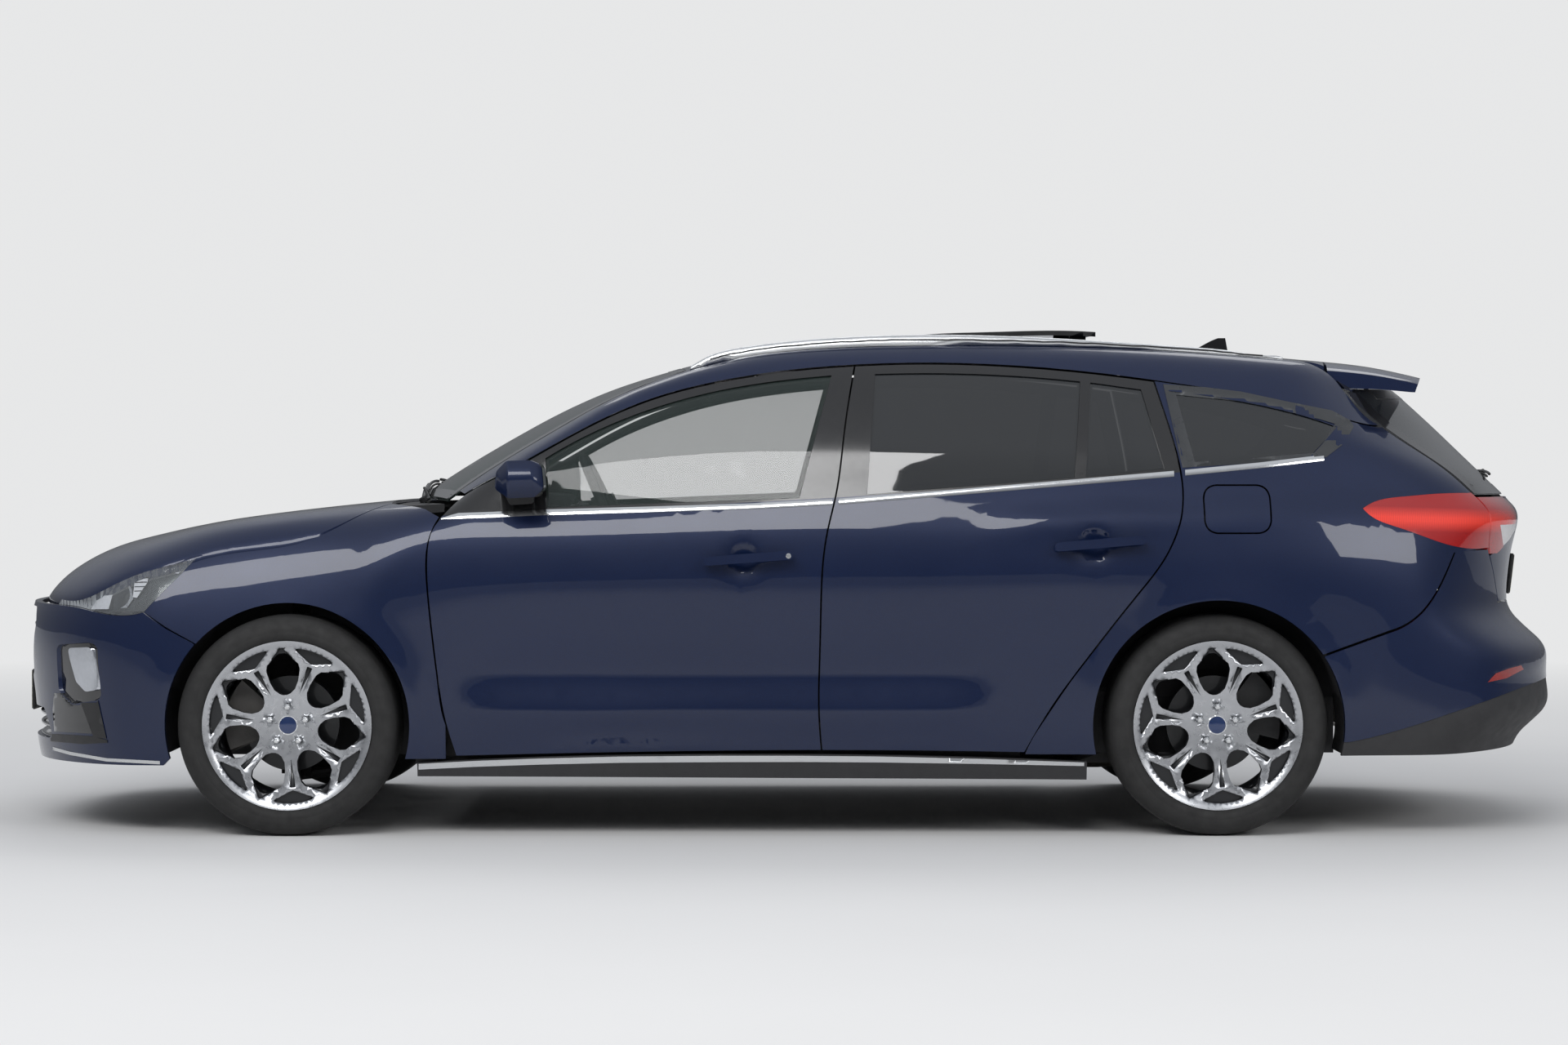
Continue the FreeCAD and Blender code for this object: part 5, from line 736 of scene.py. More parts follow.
def edge_loops(node, facing, least=0.25):
    """Outlines of the faces of a node that look along a direction, as ordered points."""
    work = bmesh.new()
    work.from_mesh(NODES[node].data)
    bmesh.ops.remove_doubles(work, verts=work.verts, dist=1e-6)
    work.normal_update()
    look = Vector(facing)
    shown = {f for f in work.faces if f.normal.dot(look) > least}
    border = {}
    for edge in work.edges:
        if sum(f in shown for f in edge.link_faces) == 1:
            for a, b in ((edge.verts[0], edge.verts[1]), (edge.verts[1], edge.verts[0])):
                border.setdefault(a.index, []).append(b.index)
    work.verts.ensure_lookup_table()
    loops, used = [], set()
    for start in border:
        if start in used:
            continue
        loop, here, last = [start], start, None
        used.add(start)
        while True:
            ways = [n for n in border[here] if n != last and n not in used]
            if not ways:
                break
            last, here = here, ways[0]
            used.add(here)
            loop.append(here)
        if len(loop) > 8:
            loops.append([work.verts[i].co.copy() for i in loop])
    work.free()
    return sorted(loops, key=lambda p: -sum((a - b).length for a, b in zip(p, p[1:])))


def even_loop(points, step):
    """The same closed line with even spacing."""
    ring = points + [points[0]]
    lengths = [0.0]
    for a, b in zip(ring, ring[1:]):
        lengths.append(lengths[-1] + (b - a).length)
    count = max(12, int(lengths[-1] / step))
    result, k = [], 0
    for i in range(count):
        want = lengths[-1] * i / count
        while lengths[k + 1] < want:
            k += 1
        share = (want - lengths[k]) / max(1e-9, lengths[k + 1] - lengths[k])
        result.append(ring[k].lerp(ring[k + 1], share))
    return result


def border_band(name, node, facing, inset, width, lift, materials, body, slot, step=0.02, least=0.25,
                which=0, tint=0, on=(), where=None):
    """A flat band just over or under a pane, following its edge."""
    look = Vector(facing).normalized()
    skin = Skin(node, *on)
    parts = Parts()
    for loop in [p for p in edge_loops(node, facing, least) if not where or where(p)][which:which + 1]:
        points = even_loop(loop, step)
        centre = sum(points, Vector()) / len(points)
        rings = [[], []]
        for i, point in enumerate(points):
            ahead = points[(i + 1) % len(points)] - points[i - 1]
            inward = ahead.cross(look).normalized()
            if inward.dot(centre - point) < 0:
                inward.negate()
            for ring, distance in zip(rings, (inset, inset + width)):
                at = point + inward * distance
                hit = skin.cast(at + look * 0.1, -look, lift)
                ring.append(hit if hit else at + look * lift)
        wall = look * -0.0015
        rows = [rings[0], rings[1], [p + wall for p in rings[1]], [p + wall for p in rings[0]],
                rings[0]]
        parts.grid(rows, closed=True, mark=tint)
    if parts.faces:
        parts.make(name, materials, body, slot)


border_band("windscreen_border", "windscreen", (-0.5, 0, 0.85), 0.004, 0.038, 0.0012, [GLOSS_BLACK],
            ROOT, "gloss_black")
border_band("tailgate_glass_border", "tailgate_glass", (0.75, 0, 0.65), 0.003, 0.04, 0.0012,
            [GLOSS_BLACK], "tailgate_body", "gloss_black")


def within(point, ring):
    """Whether a flat point is inside a closed line."""
    u, v = point
    odd = False
    for (ax, ay), (bx, by) in zip(ring, ring[1:] + ring[:1]):
        if (ay > v) != (by > v) and u < (bx - ax) * (v - ay) / (by - ay) + ax:
            odd = not odd
    return odd


def flat_mesh(ring, hole, step):
    """Triangles that fill a closed line, less a hole, with points every few steps."""
    points, edges = [], []
    for loop in [ring] + ([hole] if hole else []):
        first = len(points)
        for a, b in zip(loop, loop[1:] + loop[:1]):
            count = max(1, round(math.dist(a, b) / step))
            points += [Vector(a).lerp(Vector(b), k / count) for k in range(count)]
        size = len(points) - first
        edges += [(first + k, first + (k + 1) % size) for k in range(size)]
    rim = list(points)
    low = [min(p[k] for p in ring) for k in (0, 1)]
    high = [max(p[k] for p in ring) for k in (0, 1)]
    for i in range(1, int((high[0] - low[0]) / step) + 1):
        for j in range(1, int((high[1] - low[1]) / step) + 1):
            spot = Vector((low[0] + i * step, low[1] + j * step))
            if within(spot, ring) and not (hole and within(spot, hole)) \
                    and min((spot - p).length for p in rim) > step * 0.55:
                points.append(spot)
    points, _, faces = delaunay_2d_cdt(points, edges, [], 0, 1e-4)[:3]
    kept = []
    for face in faces:
        spot = sum((points[k] for k in face), Vector((0, 0))) / len(face)
        if within(spot, ring) and not (hole and within(spot, hole)):
            kept.append(tuple(face))
    return points, kept


def sight(u, v, sign):
    """The line of sight through a point of the picture, or its mirror image."""
    way = Vector(((u - MIDDLE_U) / SPAN, 1, (LEVEL_V - v) / SPAN))
    if sign > 0:
        return Vector((EYE.x, -EYE.y, EYE.z)), Vector((way.x, -1, way.z))
    return EYE, way


def fitted(known, order):
    """A smooth sheet y(x, z) through points of a panel, whatever gaps it has."""
    x0, z0 = np.mean([(p.x, p.z) for p in known], axis=0)
    terms = [(i, j) for i in range(order + 1) for j in range(order + 1 - i)]

    def row(x, z):
        return [(x - x0) ** i * (z - z0) ** j for i, j in terms]
    kept = list(known)
    for _ in range(4):
        table = np.array([row(p.x, p.z) for p in kept])
        values = np.array([p.y for p in kept])
        found = np.linalg.lstsq(table, values, rcond=None)[0]
        miss = np.abs(table @ found - values)
        bound = max(0.0008, 2.0 * float(np.median(miss)))
        trial = [p for p, m in zip(kept, miss) if m < bound]
        if len(trial) < 3 * len(terms) or len(trial) == len(kept):
            break
        kept = trial
    return lambda x, z: float(np.dot(row(x, z), found))


def decal(name, skin, ring, materials, body, slot, lift=0.0012, wall=0.0012, hole=None, step=6,
          order=0, bowl=None, margin=0, sides=SIDES):
    """A thin closed trim piece whose outline is given as seen from the camera's side."""
    points, faces = flat_mesh(ring, hole, step)
    for side, sign in sides:
        placed = []
        if order:
            known = []
            low = [min(p[k] for p in ring) - margin for k in (0, 1)]
            high = [max(p[k] for p in ring) + margin for k in (0, 1)]
            for i in range(31):
                for j in range(31):
                    start, way = sight(low[0] + (high[0] - low[0]) * i / 30,
                                       low[1] + (high[1] - low[1]) * j / 30, sign)
                    hit = skin.cast(start, way)
                    if hit:
                        known.append(hit)
            sheet = fitted(known, order)
            for u, v in points:
                start, way = sight(u, v, sign)
                y = known[0].y
                for _ in range(8):
                    at = start + way * ((y - start.y) / way.y)
                    y = sheet(at.x, at.z)
                hit = skin.cast(start, way)
                if hit and abs(hit.y - y) < 0.006:
                    placed.append(skin.cast(start, way, lift))
                else:
                    at = start + way * ((y - start.y) / way.y)
                    placed.append(Vector((at.x, at.y + sign * lift, at.z)))
        else:
            for u, v in points:
                start, way = sight(u, v, sign)
                placed.append(skin.cast(start, way, lift))
        if bowl:
            (cu, cv), radius, deep = bowl
            for k, (u, v) in enumerate(points):
                far = math.dist((u, v), (cu, cv)) / radius
                if placed[k] and far < 1:
                    placed[k] = placed[k] + Vector((0, -sign * deep * (1 - far * far), 0))
        good = [f for f in faces if all(placed[k] is not None for k in f)]
        if not good:
            continue
        used = sorted({k for f in good for k in f})
        index = {k: n for n, k in enumerate(used)}
        front = [placed[k] for k in used]
        inward = Vector((0, -sign, 0))
        rows = []
        for f in good:
            f = tuple(index[k] for k in f)
            normal = (front[f[1]] - front[f[0]]).cross(front[f[2]] - front[f[0]])
            rows.append(f if normal.dot(inward) < 0 else f[::-1])
        count = len(front)
        edges = {(f[k], f[(k + 1) % len(f)]) for f in rows for k in range(len(f))}
        walls = [(b, a, a + count, b + count) for a, b in edges if (b, a) not in edges]
        parts = Parts()
        parts.add(front + [p + inward * wall for p in front],
                  rows + [tuple(k + count for k in f[::-1]) for f in rows] + walls)
        parts.make(f"{name}_{side}", materials, body.replace("SIDE", side), slot)


for side, sign in SIDES:
    for pane, body in (("front_door_glass", "front_door"), ("rear_door_glass", "rear_door")):
        for k in range(1 if pane.startswith("front") else 2):
            border_band(f"{pane}_seal_{k + 1}_{side}", f"{pane}_{side}", (0, sign, 0), -0.010, 0.017,
                        -0.009, [RUBBER], f"{body}_{side}_body", "rubber_black", which=k)

SURROUND = plain("window_trim", (0.055, 0.058, 0.062), 0.3, 0.3, vary=0.15)
decal("quarter_trim", Skin("quarter_glass", "quarter_panels", "roof_sides"),
      [(1424, 471), (1470, 474), (1519, 480), (1580, 493), (1630, 503), (1652, 514), (1657, 523),
       (1646, 543), (1624, 560), (1560, 566), (1448, 573)], [SURROUND], ROOT, "black_plastic",
      hole=[(1440, 484), (1519, 492), (1580, 505), (1616, 514), (1634, 519.6), (1620, 543),
            (1609, 555), (1560, 559), (1463, 566)], order=3, lift=0.0018, step=5)
decal("sill_strip", Skin("lower_trims"),
      [(512, 936), (580, 932.4), (660, 929.4), (760, 927), (880, 926), (980, 926), (1080, 927),
       (1200, 929.8), (1328, 934.2), (1328, 938.6), (1200, 936), (1080, 934.2), (980, 933.6),
       (880, 933.8), (760, 934.6), (660, 936.8), (580, 939.6), (512, 943)], [SATIN_RAIL], ROOT,
      "bright_rail", lift=0.0012, step=8)
decal("rear_reflector", Skin("rear_bumper", "lower_trims"),
      [(1822, 836), (1832, 825), (1848, 819), (1863, 815), (1866, 820), (1845, 831)],
      [plain("red_reflector", (0.26, 0.012, 0.010), 0.2, vary=0.3, scale=60, Coat_Weight=0.8)], ROOT,
      "lamp_red", step=3)


def seam_filler(name, node, keep, body):
    """A painted line in a joint that has no shut line on the real car."""
    for side, sign in SIDES:
        loops = [p for p in edge_loops(node, (0, sign, 0.35)) if p[0].y * sign > 0]
        points = [p for p in loops[0] if keep(p)] if loops else []
        if len(points) < 4:
            continue
        points.sort(key=lambda p: p.x)
        line = []
        for p in points:
            if line and (p - line[-1]).length < 0.012:
                continue
            line.append(p.copy())
        line = [p + Vector((0, -sign * 0.0013, 0.0004)) for p in line]
        parts = Parts()
        parts.tube(line, 0.0013, 8)
        parts.make(f"{name}_{side}", [PAINT], body, "paint")


seam_filler("roof_quarter_joint", "quarter_panels", lambda p: p.z > 1.262 and 1.10 < p.x < 1.70,
            ROOT)


# Painted shade: dark sheets on the inner side of each wheel arch stand in for the shadow under the car
# seen through the spokes. Blocks close the front ends of the sills.

for side, sign in SIDES:
    for place, middle, inner, low, high in (("front", -1.45, 0.458, 0.205, 0.395),
                                            ("rear", 1.25, 0.645, 0.225, 0.395)):
        # A dark plastic sheet painted in where there is only the shade under the car.
        parts = Parts()
        parts.block((middle, sign * inner, (low + high) / 2), (0.74, 0.003, high - low), None, 0.2)
        parts.make(f"arch_shade_sheet_{place}_{side}", [PLASTIC], ROOT, "black_plastic")
    parts = Parts()
    parts.block((-1.0525, sign * 0.83, 0.2185), (0.055, 0.06, 0.027))
    parts.make(f"sill_end_{side}", [PLASTIC], ROOT, "black_plastic")


# Wheels: tread, nuts and centre caps.

# Half of the tyre's section: distance from its middle, and height over the running surface.
TREAD = [(0.0, 0.0), (0.009, 0.0), (0.0095, -0.007), (0.0165, -0.007), (0.017, 0.0),
         (0.043, -0.0005), (0.0435, -0.007), (0.0515, -0.007), (0.052, -0.0007), (0.081, -0.003),
         (0.092, -0.0062), (0.1005, -0.0125), (0.1065, -0.0215), (0.112, -0.031), (0.1155, -0.045),
         (0.117, -0.052), (0.1166, -0.056), (0.1166, -0.059), (0.1145, -0.064), (0.112, -0.069),
         (0.1108, -0.071), (0.1095, -0.0725), (0.1085, -0.0735)]


def tread_tyre(place, side, sign, track, axle):
    half = TREAD + [(0.0905, -0.0735), (0.088, -0.066)]
    full = [(-a, b) for a, b in half[:0:-1]] + half
    segments = 156
    parts = Parts()
    rows = []
    for across, drop in full:
        far = abs(across)
        skew = math.copysign(0.55, across) if 0.01 < far < 0.05 else 0
        row = []
        for k in range(segments):
            radius = TYRE_RADIUS + drop
            # Slots across the shoulder blocks, and shallower ones across the middle ribs.
            if 0.052 < far < 0.1068 and k % 4 == 3:
                radius -= 0.0055
            if 0.017 < far < 0.0436 and k % 4 == 1:
                radius -= 0.004
            turn = 2 * math.pi * (k + skew) / segments
            row.append(Vector((axle + radius * math.cos(turn), sign * track + across,
                               HUB_HEIGHT + radius * math.sin(turn))))
        rows.append(row)
    parts.grid(rows + [rows[0]], closed=True)
    skin = parts.make(f"tyre_{place}_{side}_tread", [TYRE], f"wheel_{place}_{side}_body",
                      "rubber_black", angle=32)
    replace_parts(skin, f"tyre_{place}_{side}")


CAP_BLUE = plain("cap_blue", (0.010, 0.030, 0.11), 0.2, 0.2, vary=0.1, Coat_Weight=1.0)

for place, track, axle in AXLES:
    for side, sign in SIDES:
        tread_tyre(place, side, sign, track, axle)
        outer = track + RIM_HALF
        nuts = Parts()
        for k in range(5):
            turn = math.radians(90 + 72 * k)
            x, z = axle + NUT_CIRCLE * math.cos(turn), HUB_HEIGHT + NUT_CIRCLE * math.sin(turn)
            base = sign * (outer - 0.0300)
            nuts.turned([(0, 0.0112), (sign * 0.0006, 0.0112), (sign * 0.0007, 0.0105)], (x, base, z),
                        "Y", 24, mark=1)
            nuts.turned([(0, 0.0098), (sign * 0.019, 0.0098), (sign * 0.024, 0.0080),
                         (sign * 0.0262, 0.0045)], (x, base, z), "Y", 6)
        nuts.make(f"wheel_nuts_{place}_{side}", [CHROME, DARK_ALLOY], f"wheel_{place}_{side}_body",
                  "wheel_alloy", angle=20)
        skin = Skin(f"rim_{place}_{side}")
        hub = skin.cast((axle + 0.004, sign * 1.2, 0.326), (0, -sign, 0))
        if hub:
            cap = Parts()
            y = hub.y
            cap.turned([(-sign * 0.002, 0.0285), (sign * 0.002, 0.0285), (sign * 0.0032, 0.0268),
                        (sign * 0.0032, 0.0255), (sign * 0.0022, 0.0245)], (axle, y, HUB_HEIGHT), "Y", 40)
            cap.turned([(-sign * 0.001, 0.0246), (sign * 0.0024, 0.0246), (sign * 0.0040, 0.016),
                        (sign * 0.0046, 0.006)], (axle, y, HUB_HEIGHT), "Y", 40, mark=1)
            cap.make(f"wheel_cap_{place}_{side}", [CHROME, CAP_BLUE], f"wheel_{place}_{side}_body",
                     "wheel_alloy")


# Seats: padded shapes with crowned faces, bolsters, seams and piping.

def pad(name, centre, size, lean, shape, body, cells=34, round_off=0.34, material=None):
    """A rounded block whose skin is pushed out or in by shape(u, v, w) along its normal."""
    half = [s / 2 for s in size]
    corner = min(half) * round_off * 2
    turn = Matrix.Rotation(lean, 3, "Y")
    parts = Parts()
    for axis in range(3):
        for way in (-1, 1):
            others = [i for i in range(3) if i != axis]
            counts = [max(10, int(cells * size[i] / max(size))) for i in others]
            rows = []
            for i in range(counts[0] + 1):
                row = []
                for j in range(counts[1] + 1):
                    cube = [0.0, 0.0, 0.0]
                    cube[axis] = way
                    cube[others[0]] = 2 * i / counts[0] - 1
                    cube[others[1]] = 2 * j / counts[1] - 1
                    raw = Vector(c * h for c, h in zip(cube, half))
                    core = Vector(max(-(h - corner), min(h - corner, r)) for r, h in zip(raw, half))
                    normal = (raw - core).normalized()
                    point = core + normal * corner
                    unit = [p / h for p, h in zip(point, half)]
                    point += normal * shape(unit, normal)
                    row.append(Vector(centre) + turn @ point)
                rows.append(row)
            parts.grid(rows)
    mesh = bpy.data.meshes.new(name)
    mesh.from_pydata([tuple(v) for v in parts.verts], [], parts.faces)
    work = bmesh.new()
    work.from_mesh(mesh)
    bmesh.ops.remove_doubles(work, verts=work.verts, dist=1e-5)
    bmesh.ops.recalc_face_normals(work, faces=work.faces)
    work.to_mesh(mesh)
    work.free()
    finish_mesh(mesh, 60)
    made = piece(name, mesh, [material or CLOTH], body)
    return made


def ridge(far, width, height):
    return height * math.exp(-(far / width) ** 2)


def rise(value, start, end):
    share = max(0.0, min(1.0, (value - start) / (end - start)))
    return share * share * (3 - 2 * share)


def soft_noise(x, y, z):
    return (math.sin(23 * x + 3 * y) * math.sin(19 * y + 5 * z) + math.sin(31 * z + 7 * x)) * 0.5


def cushion_shape(face, across, seams, channels, bolster, crown, half):
    """Crowned face with side bolsters, seams across it and piping round its rim."""
    along_axis = 3 - face[0] - across

    def shape(unit, normal):
        front = max(0.0, normal[face[0]] * face[1])
        u, v = unit[across], unit[along_axis]
        out = crown * front * (1 - u * u) * (1 - 0.6 * v * v)
        if bolster:
            out += bolster * front * rise(abs(u), 0.52, 0.80) * (1 - 0.75 * rise(abs(v), 0.72, 1.0))
        for at in seams:
            out -= ridge((abs(u) - at) * half, 0.0055, 0.008) * front
            out += ridge((abs(u) - at) * half - 0.009, 0.004, 0.0018) * front
        for at in channels:
            if abs(u) < (seams[0] if seams else 0.95):
                out -= ridge((v - at) * half, 0.007, 0.007) * front
        edge = abs(front - 0.70)
        out += ridge(edge, 0.07, 0.0022)
        return out + 0.0016 * front * soft_noise(u * 2, v * 2, front)
    return shape


SEAT_SIDE = 0.365


def front_seat(side, sign):
    """Cushion, back, head rest and the frame with its rails and lever."""
    y = SEAT_SIDE * sign
    tag = f"front_seat_{side}"
    cushion = pad(f"{tag}_cushion", (-0.235, y, 0.405), (0.50, 0.50, 0.135), math.radians(-3),
                  cushion_shape((2, 1), 1, [0.58], [-0.45, 0.05, 0.5], 0.030, 0.016, 0.25), ROOT)
    lean = math.radians(22)
    up, back = Vector((math.sin(lean), 0, math.cos(lean))), Vector((math.cos(lean), 0, -math.sin(lean)))
    middle = Vector((-0.020, y, 0.340)) + up * 0.335 + back * 0.062
    pad(f"{tag}_back", middle, (0.115, 0.49, 0.585), lean,
        cushion_shape((0, -1), 1, [0.56], [-0.5, -0.1, 0.3], 0.030, 0.014, 0.25), ROOT, cells=38)
    head = Vector((0.275, y, 1.0))
    pad(f"{tag}_head_rest", head, (0.095, 0.26, 0.185), math.radians(16),
        cushion_shape((0, -1), 1, [0.80], [], 0, 0.012, 0.13), ROOT, cells=24, round_off=0.44)
    frame_parts = Parts()
    for k in (-1, 1):
        foot = middle + up * 0.24 + Vector((0, 0.06 * k, 0))
        frame_parts.tube([foot, foot + up * 0.20], 0.006, 12, mark=1)
        frame_parts.block(foot + up * 0.058 + back * -0.002, (0.035, 0.035, 0.02),
                          Matrix.Rotation(lean, 4, "Y"), 0.3)
        frame_parts.block((-0.20, y + k * 0.262, 0.385), (0.38, 0.026, 0.10), None, 0.35)
        frame_parts.block((-0.23, y + k * 0.19, 0.2085), (0.44, 0.034, 0.016), None, 0.2, mark=1)
    frame_parts.block((-0.22, y, 0.272), (0.36, 0.36, 0.125), None, 0.08)
    frame_parts.block((0.03, y - sign * -0.262, 0.395), (0.07, 0.02, 0.07), None, 0.4)
    frame_parts.make(f"{tag}_frame", [PLASTIC, STEEL], ROOT, "cabin_plastic")
    return cushion


cushions = [front_seat(side, sign) for side, sign in SIDES]
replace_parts(cushions[0], "front_seats")


def rear_bench():
    """One wide cushion, two backs and three head rests."""
    cushion = pad("rear_bench_cushion", (0.665, 0, 0.400), (0.50, 1.24, 0.14), math.radians(-3),
                  cushion_shape((2, 1), 1, [0.30], [-0.4, 0.15, 0.6], 0, 0.018, 0.62), ROOT, cells=72)
    lean = math.radians(24)
    up, back = Vector((math.sin(lean), 0, math.cos(lean))), Vector((math.cos(lean), 0, -math.sin(lean)))
    for name, y, wide in (("wide", 0.21, 0.82), ("narrow", -0.415, 0.41)):
        middle = Vector((0.880, y, 0.340)) + up * 0.31 + back * 0.06
        pad(f"rear_bench_back_{name}", middle, (0.115, wide, 0.60), lean,
            cushion_shape((0, -1), 1, [0.86], [-0.45, 0.0, 0.42], 0, 0.018, wide / 2), ROOT,
            cells=52 if wide > 0.5 else 36)
    rails = Parts()
    for k in (-1, 0, 1):
        top = Vector((0.880, 0.41 * k, 0.340)) + up * 0.60 + back * 0.05
        pad(f"rear_head_rest_{k + 2}", top + up * 0.085, (0.075, 0.23, 0.13), math.radians(18),
            cushion_shape((0, -1), 1, [0.82], [], 0, 0.009, 0.115), ROOT, cells=20, round_off=0.44)
        for way in (-1, 1):
            foot = top + Vector((0, 0.045 * way, 0)) - up * 0.05
            rails.tube([foot, foot + up * 0.10], 0.006, 12, mark=1)
    rails.block((0.62, 0, 0.272), (0.32, 1.18, 0.125), None, 0.06)
    for y in (-0.2, 0.2, -0.45, 0.45):
        rails.block((0.865, y, 0.452), (0.02, 0.03, 0.035), None, 0.3)
    rails.make("rear_bench_frame", [PLASTIC, STEEL], ROOT, "cabin_plastic")
    return cushion


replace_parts(rear_bench(), "rear_bench")


# Cabin: dashboard fittings, door trims, mirrors and lever.

SCREEN = plain("screen_glass", (0.004, 0.005, 0.006), 0.06, vary=0.2, Coat_Weight=1.0)
DASH = Skin("dashboard")


def dash_point(y, z, lift=0.0):
    return DASH.cast((-0.2, y, z), (-1, 0, 0), lift)


dash_parts = Parts()
for y in (-0.60, -0.13, 0.13, 0.60):
    at = dash_point(y, 0.885)
    dash_parts.turned([(0.0, 0.040), (0.010, 0.040), (0.012, 0.036), (0.004, 0.034)],
                      (at.x, y, 0.885), "X", 28)
    for k in (-2, -1, 0, 1, 2):
        dash_parts.block((at.x + 0.006, y, 0.885 + 0.012 * k),
                         (0.008, 0.060 - 0.008 * abs(k), 0.003), None, 0.3, mark=1)
hood = []
for i in range(9):
    y = -0.365 + (i - 4) * 0.036
    high = 0.036 * (1 - ((i - 4) / 4.6) ** 2) ** 0.5
    hood.append([Vector((-0.80, y, 0.960)), Vector((-0.76, y, 0.962 + high)),
                 Vector((-0.655, y, 0.955 + high)), Vector((-0.640, y, 0.948 + high * 0.85)),
                 Vector((-0.655, y, 0.944 + high * 0.6)), Vector((-0.70, y, 0.935))])
dash_parts.grid(hood, closed=True, capped=True)
dash_parts.block((-0.655, -0.365, 0.925), (0.02, 0.24, 0.075), Matrix.Rotation(-0.25, 4, "Y"), 0.1, mark=2)
dash_parts.block((-0.660, 0.0, 0.915), (0.016, 0.19, 0.10), Matrix.Rotation(-0.15, 4, "Y"), 0.15, mark=2)
dash_parts.block((-0.672, 0.0, 0.80), (0.02, 0.19, 0.075), Matrix.Rotation(0.35, 4, "Y"), 0.12, mark=1)
for k in range(5):
    dash_parts.turned([(0.0, 0.010), (0.012, 0.010), (0.014, 0.008)],
                      (-0.668, -0.07 + 0.035 * k, 0.80), "X", 16, mark=3)
dash_parts.block((-0.667, 0.42, 0.79), (0.018, 0.40, 0.13), Matrix.Rotation(0.35, 4, "Y"), 0.12)
dash_parts.block((-0.652, 0.42, 0.845), (0.012, 0.09, 0.014), Matrix.Rotation(0.2, 4, "Y"), 0.3, mark=1)
dash_parts.tube([(-0.395, 0, 0.515), (-0.405, 0, 0.60)], [0.011, 0.009], 12, mark=3)
dash_parts.turned([(0.0, 0.050), (0.02, 0.040), (0.045, 0.018), (0.05, 0.012)], (-0.395, 0, 0.505),
                  "Z", 24, mark=4)
dash_parts.turned([(0.0, 0.014), (0.012, 0.024), (0.03, 0.025), (0.042, 0.016), (0.045, 0.006)],
                  (-0.406, 0, 0.592), "Z", 24, mark=4)
dash_parts.tube([(-0.02, -0.05, 0.485), (-0.12, -0.05, 0.520), (-0.22, -0.05, 0.545)],
                [0.016, 0.016, 0.015], 14, mark=4)
for cup in ((-0.19, 0.05, 0.474), (-0.10, 0.05, 0.477)):
    dash_parts.turned([(0.0, 0.036), (0.006, 0.036), (0.007, 0.031), (0.001, 0.030)], cup, "Z", 28, mark=3)
for sign in (-1, 1):
    dash_parts.tube([(-0.60, -0.365, 0.92), (-0.575, -0.365 + sign * 0.14, 0.945),
                     (-0.572, -0.365 + sign * 0.19, 0.950)], [0.006, 0.007, 0.006], 10, mark=1)
dash_parts.make("dashboard_fittings", [CABIN, TRIM_BLACK, SCREEN, CHROME, LEATHER], ROOT, "cabin_plastic")

tilt = Matrix.Rotation(math.radians(65), 4, "Y")
wheel_at = Matrix.Translation((-0.54, -0.365, 0.935)) @ tilt
hub = Parts()
hub.block((0, 0, 0.016), (0.13, 0.15, 0.034), None, 0.45)
for y in (-0.088, 0.088):
    hub.block((0, y, 0.008), (0.036, 0.045, 0.012), None, 0.35, mark=1)
hub.block((0.09, 0, 0.006), (0.06, 0.026, 0.010), None, 0.35, mark=1)
for vert in hub.verts:
    vert.xyz = wheel_at @ vert
hub.make("steering_wheel_cover", [CABIN, ALLOY], "steering_wheel_body", "cabin_plastic")


def door_trim(door, skin, start, end, low, high):
    """Arm rest, pull and pocket on the inner face of a door."""
    for side, sign in SIDES:
        parts = Parts()
        middle = (start + end) / 2
        hit = skin.cast((middle, -0.3, (low + high) / 2), (0, -1, 0))
        if hit is None:
            continue
        y = abs(hit.y)

        def at(x, depth, z, s=sign, base=y):
            return (x, s * (base - depth), z)
        wide = end - start
        parts.block(at(middle, 0.016, 0.60), (wide, 0.036, 0.30), None, 0.3, mark=1)
        parts.block(at(middle + wide * 0.05, 0.040, 0.66), (wide * 0.62, 0.060, 0.05), None, 0.4)
        parts.block(at(middle, 0.034, 0.42), (wide * 0.8, 0.036, 0.14), None, 0.3)
        parts.block(at(start + wide * 0.22, 0.036, 0.74), (0.11, 0.012, 0.03), None, 0.4, mark=2)
        parts.make(f"{door}_trim_{side}", [CABIN, CLOTH, CHROME], f"{door}_{side}_body", "cabin_plastic")


door_trim("front_door", FRONT_DOOR, -0.72, -0.02, 0.5, 0.8)
door_trim("rear_door", REAR_DOOR, 0.24, 0.86, 0.5, 0.8)

ROOF = Skin("roof")
under = ROOF.cast((-0.235, 0, 0.9), (0, 0, 1))
head = Parts()
if under:
    z = under.z
    for sign in (-1, 1):
        head.block((-0.17, sign * 0.36, z - 0.022), (0.16, 0.36, 0.018),
                   Matrix.Rotation(math.radians(-4), 4, "Y"), 0.45)
    head.block((-0.24, 0, z - 0.055), (0.022, 0.23, 0.06), Matrix.Rotation(0.2, 4, "Y"), 0.35, mark=1)
    head.block((-0.228, 0, z - 0.055), (0.002, 0.215, 0.05), Matrix.Rotation(0.2, 4, "Y"), 0.1, mark=2)
    head.tube([(-0.245, 0, z - 0.055), (-0.262, 0, z - 0.004)], 0.008, 12, mark=1)
    head.block((-0.02, 0, z - 0.012), (0.14, 0.12, 0.024), None, 0.3, mark=1)
    head.make("sun_visors_and_mirror", [LINER_CLOTH, CABIN, MIRROR_GLASS], ROOT, "cabin_plastic")
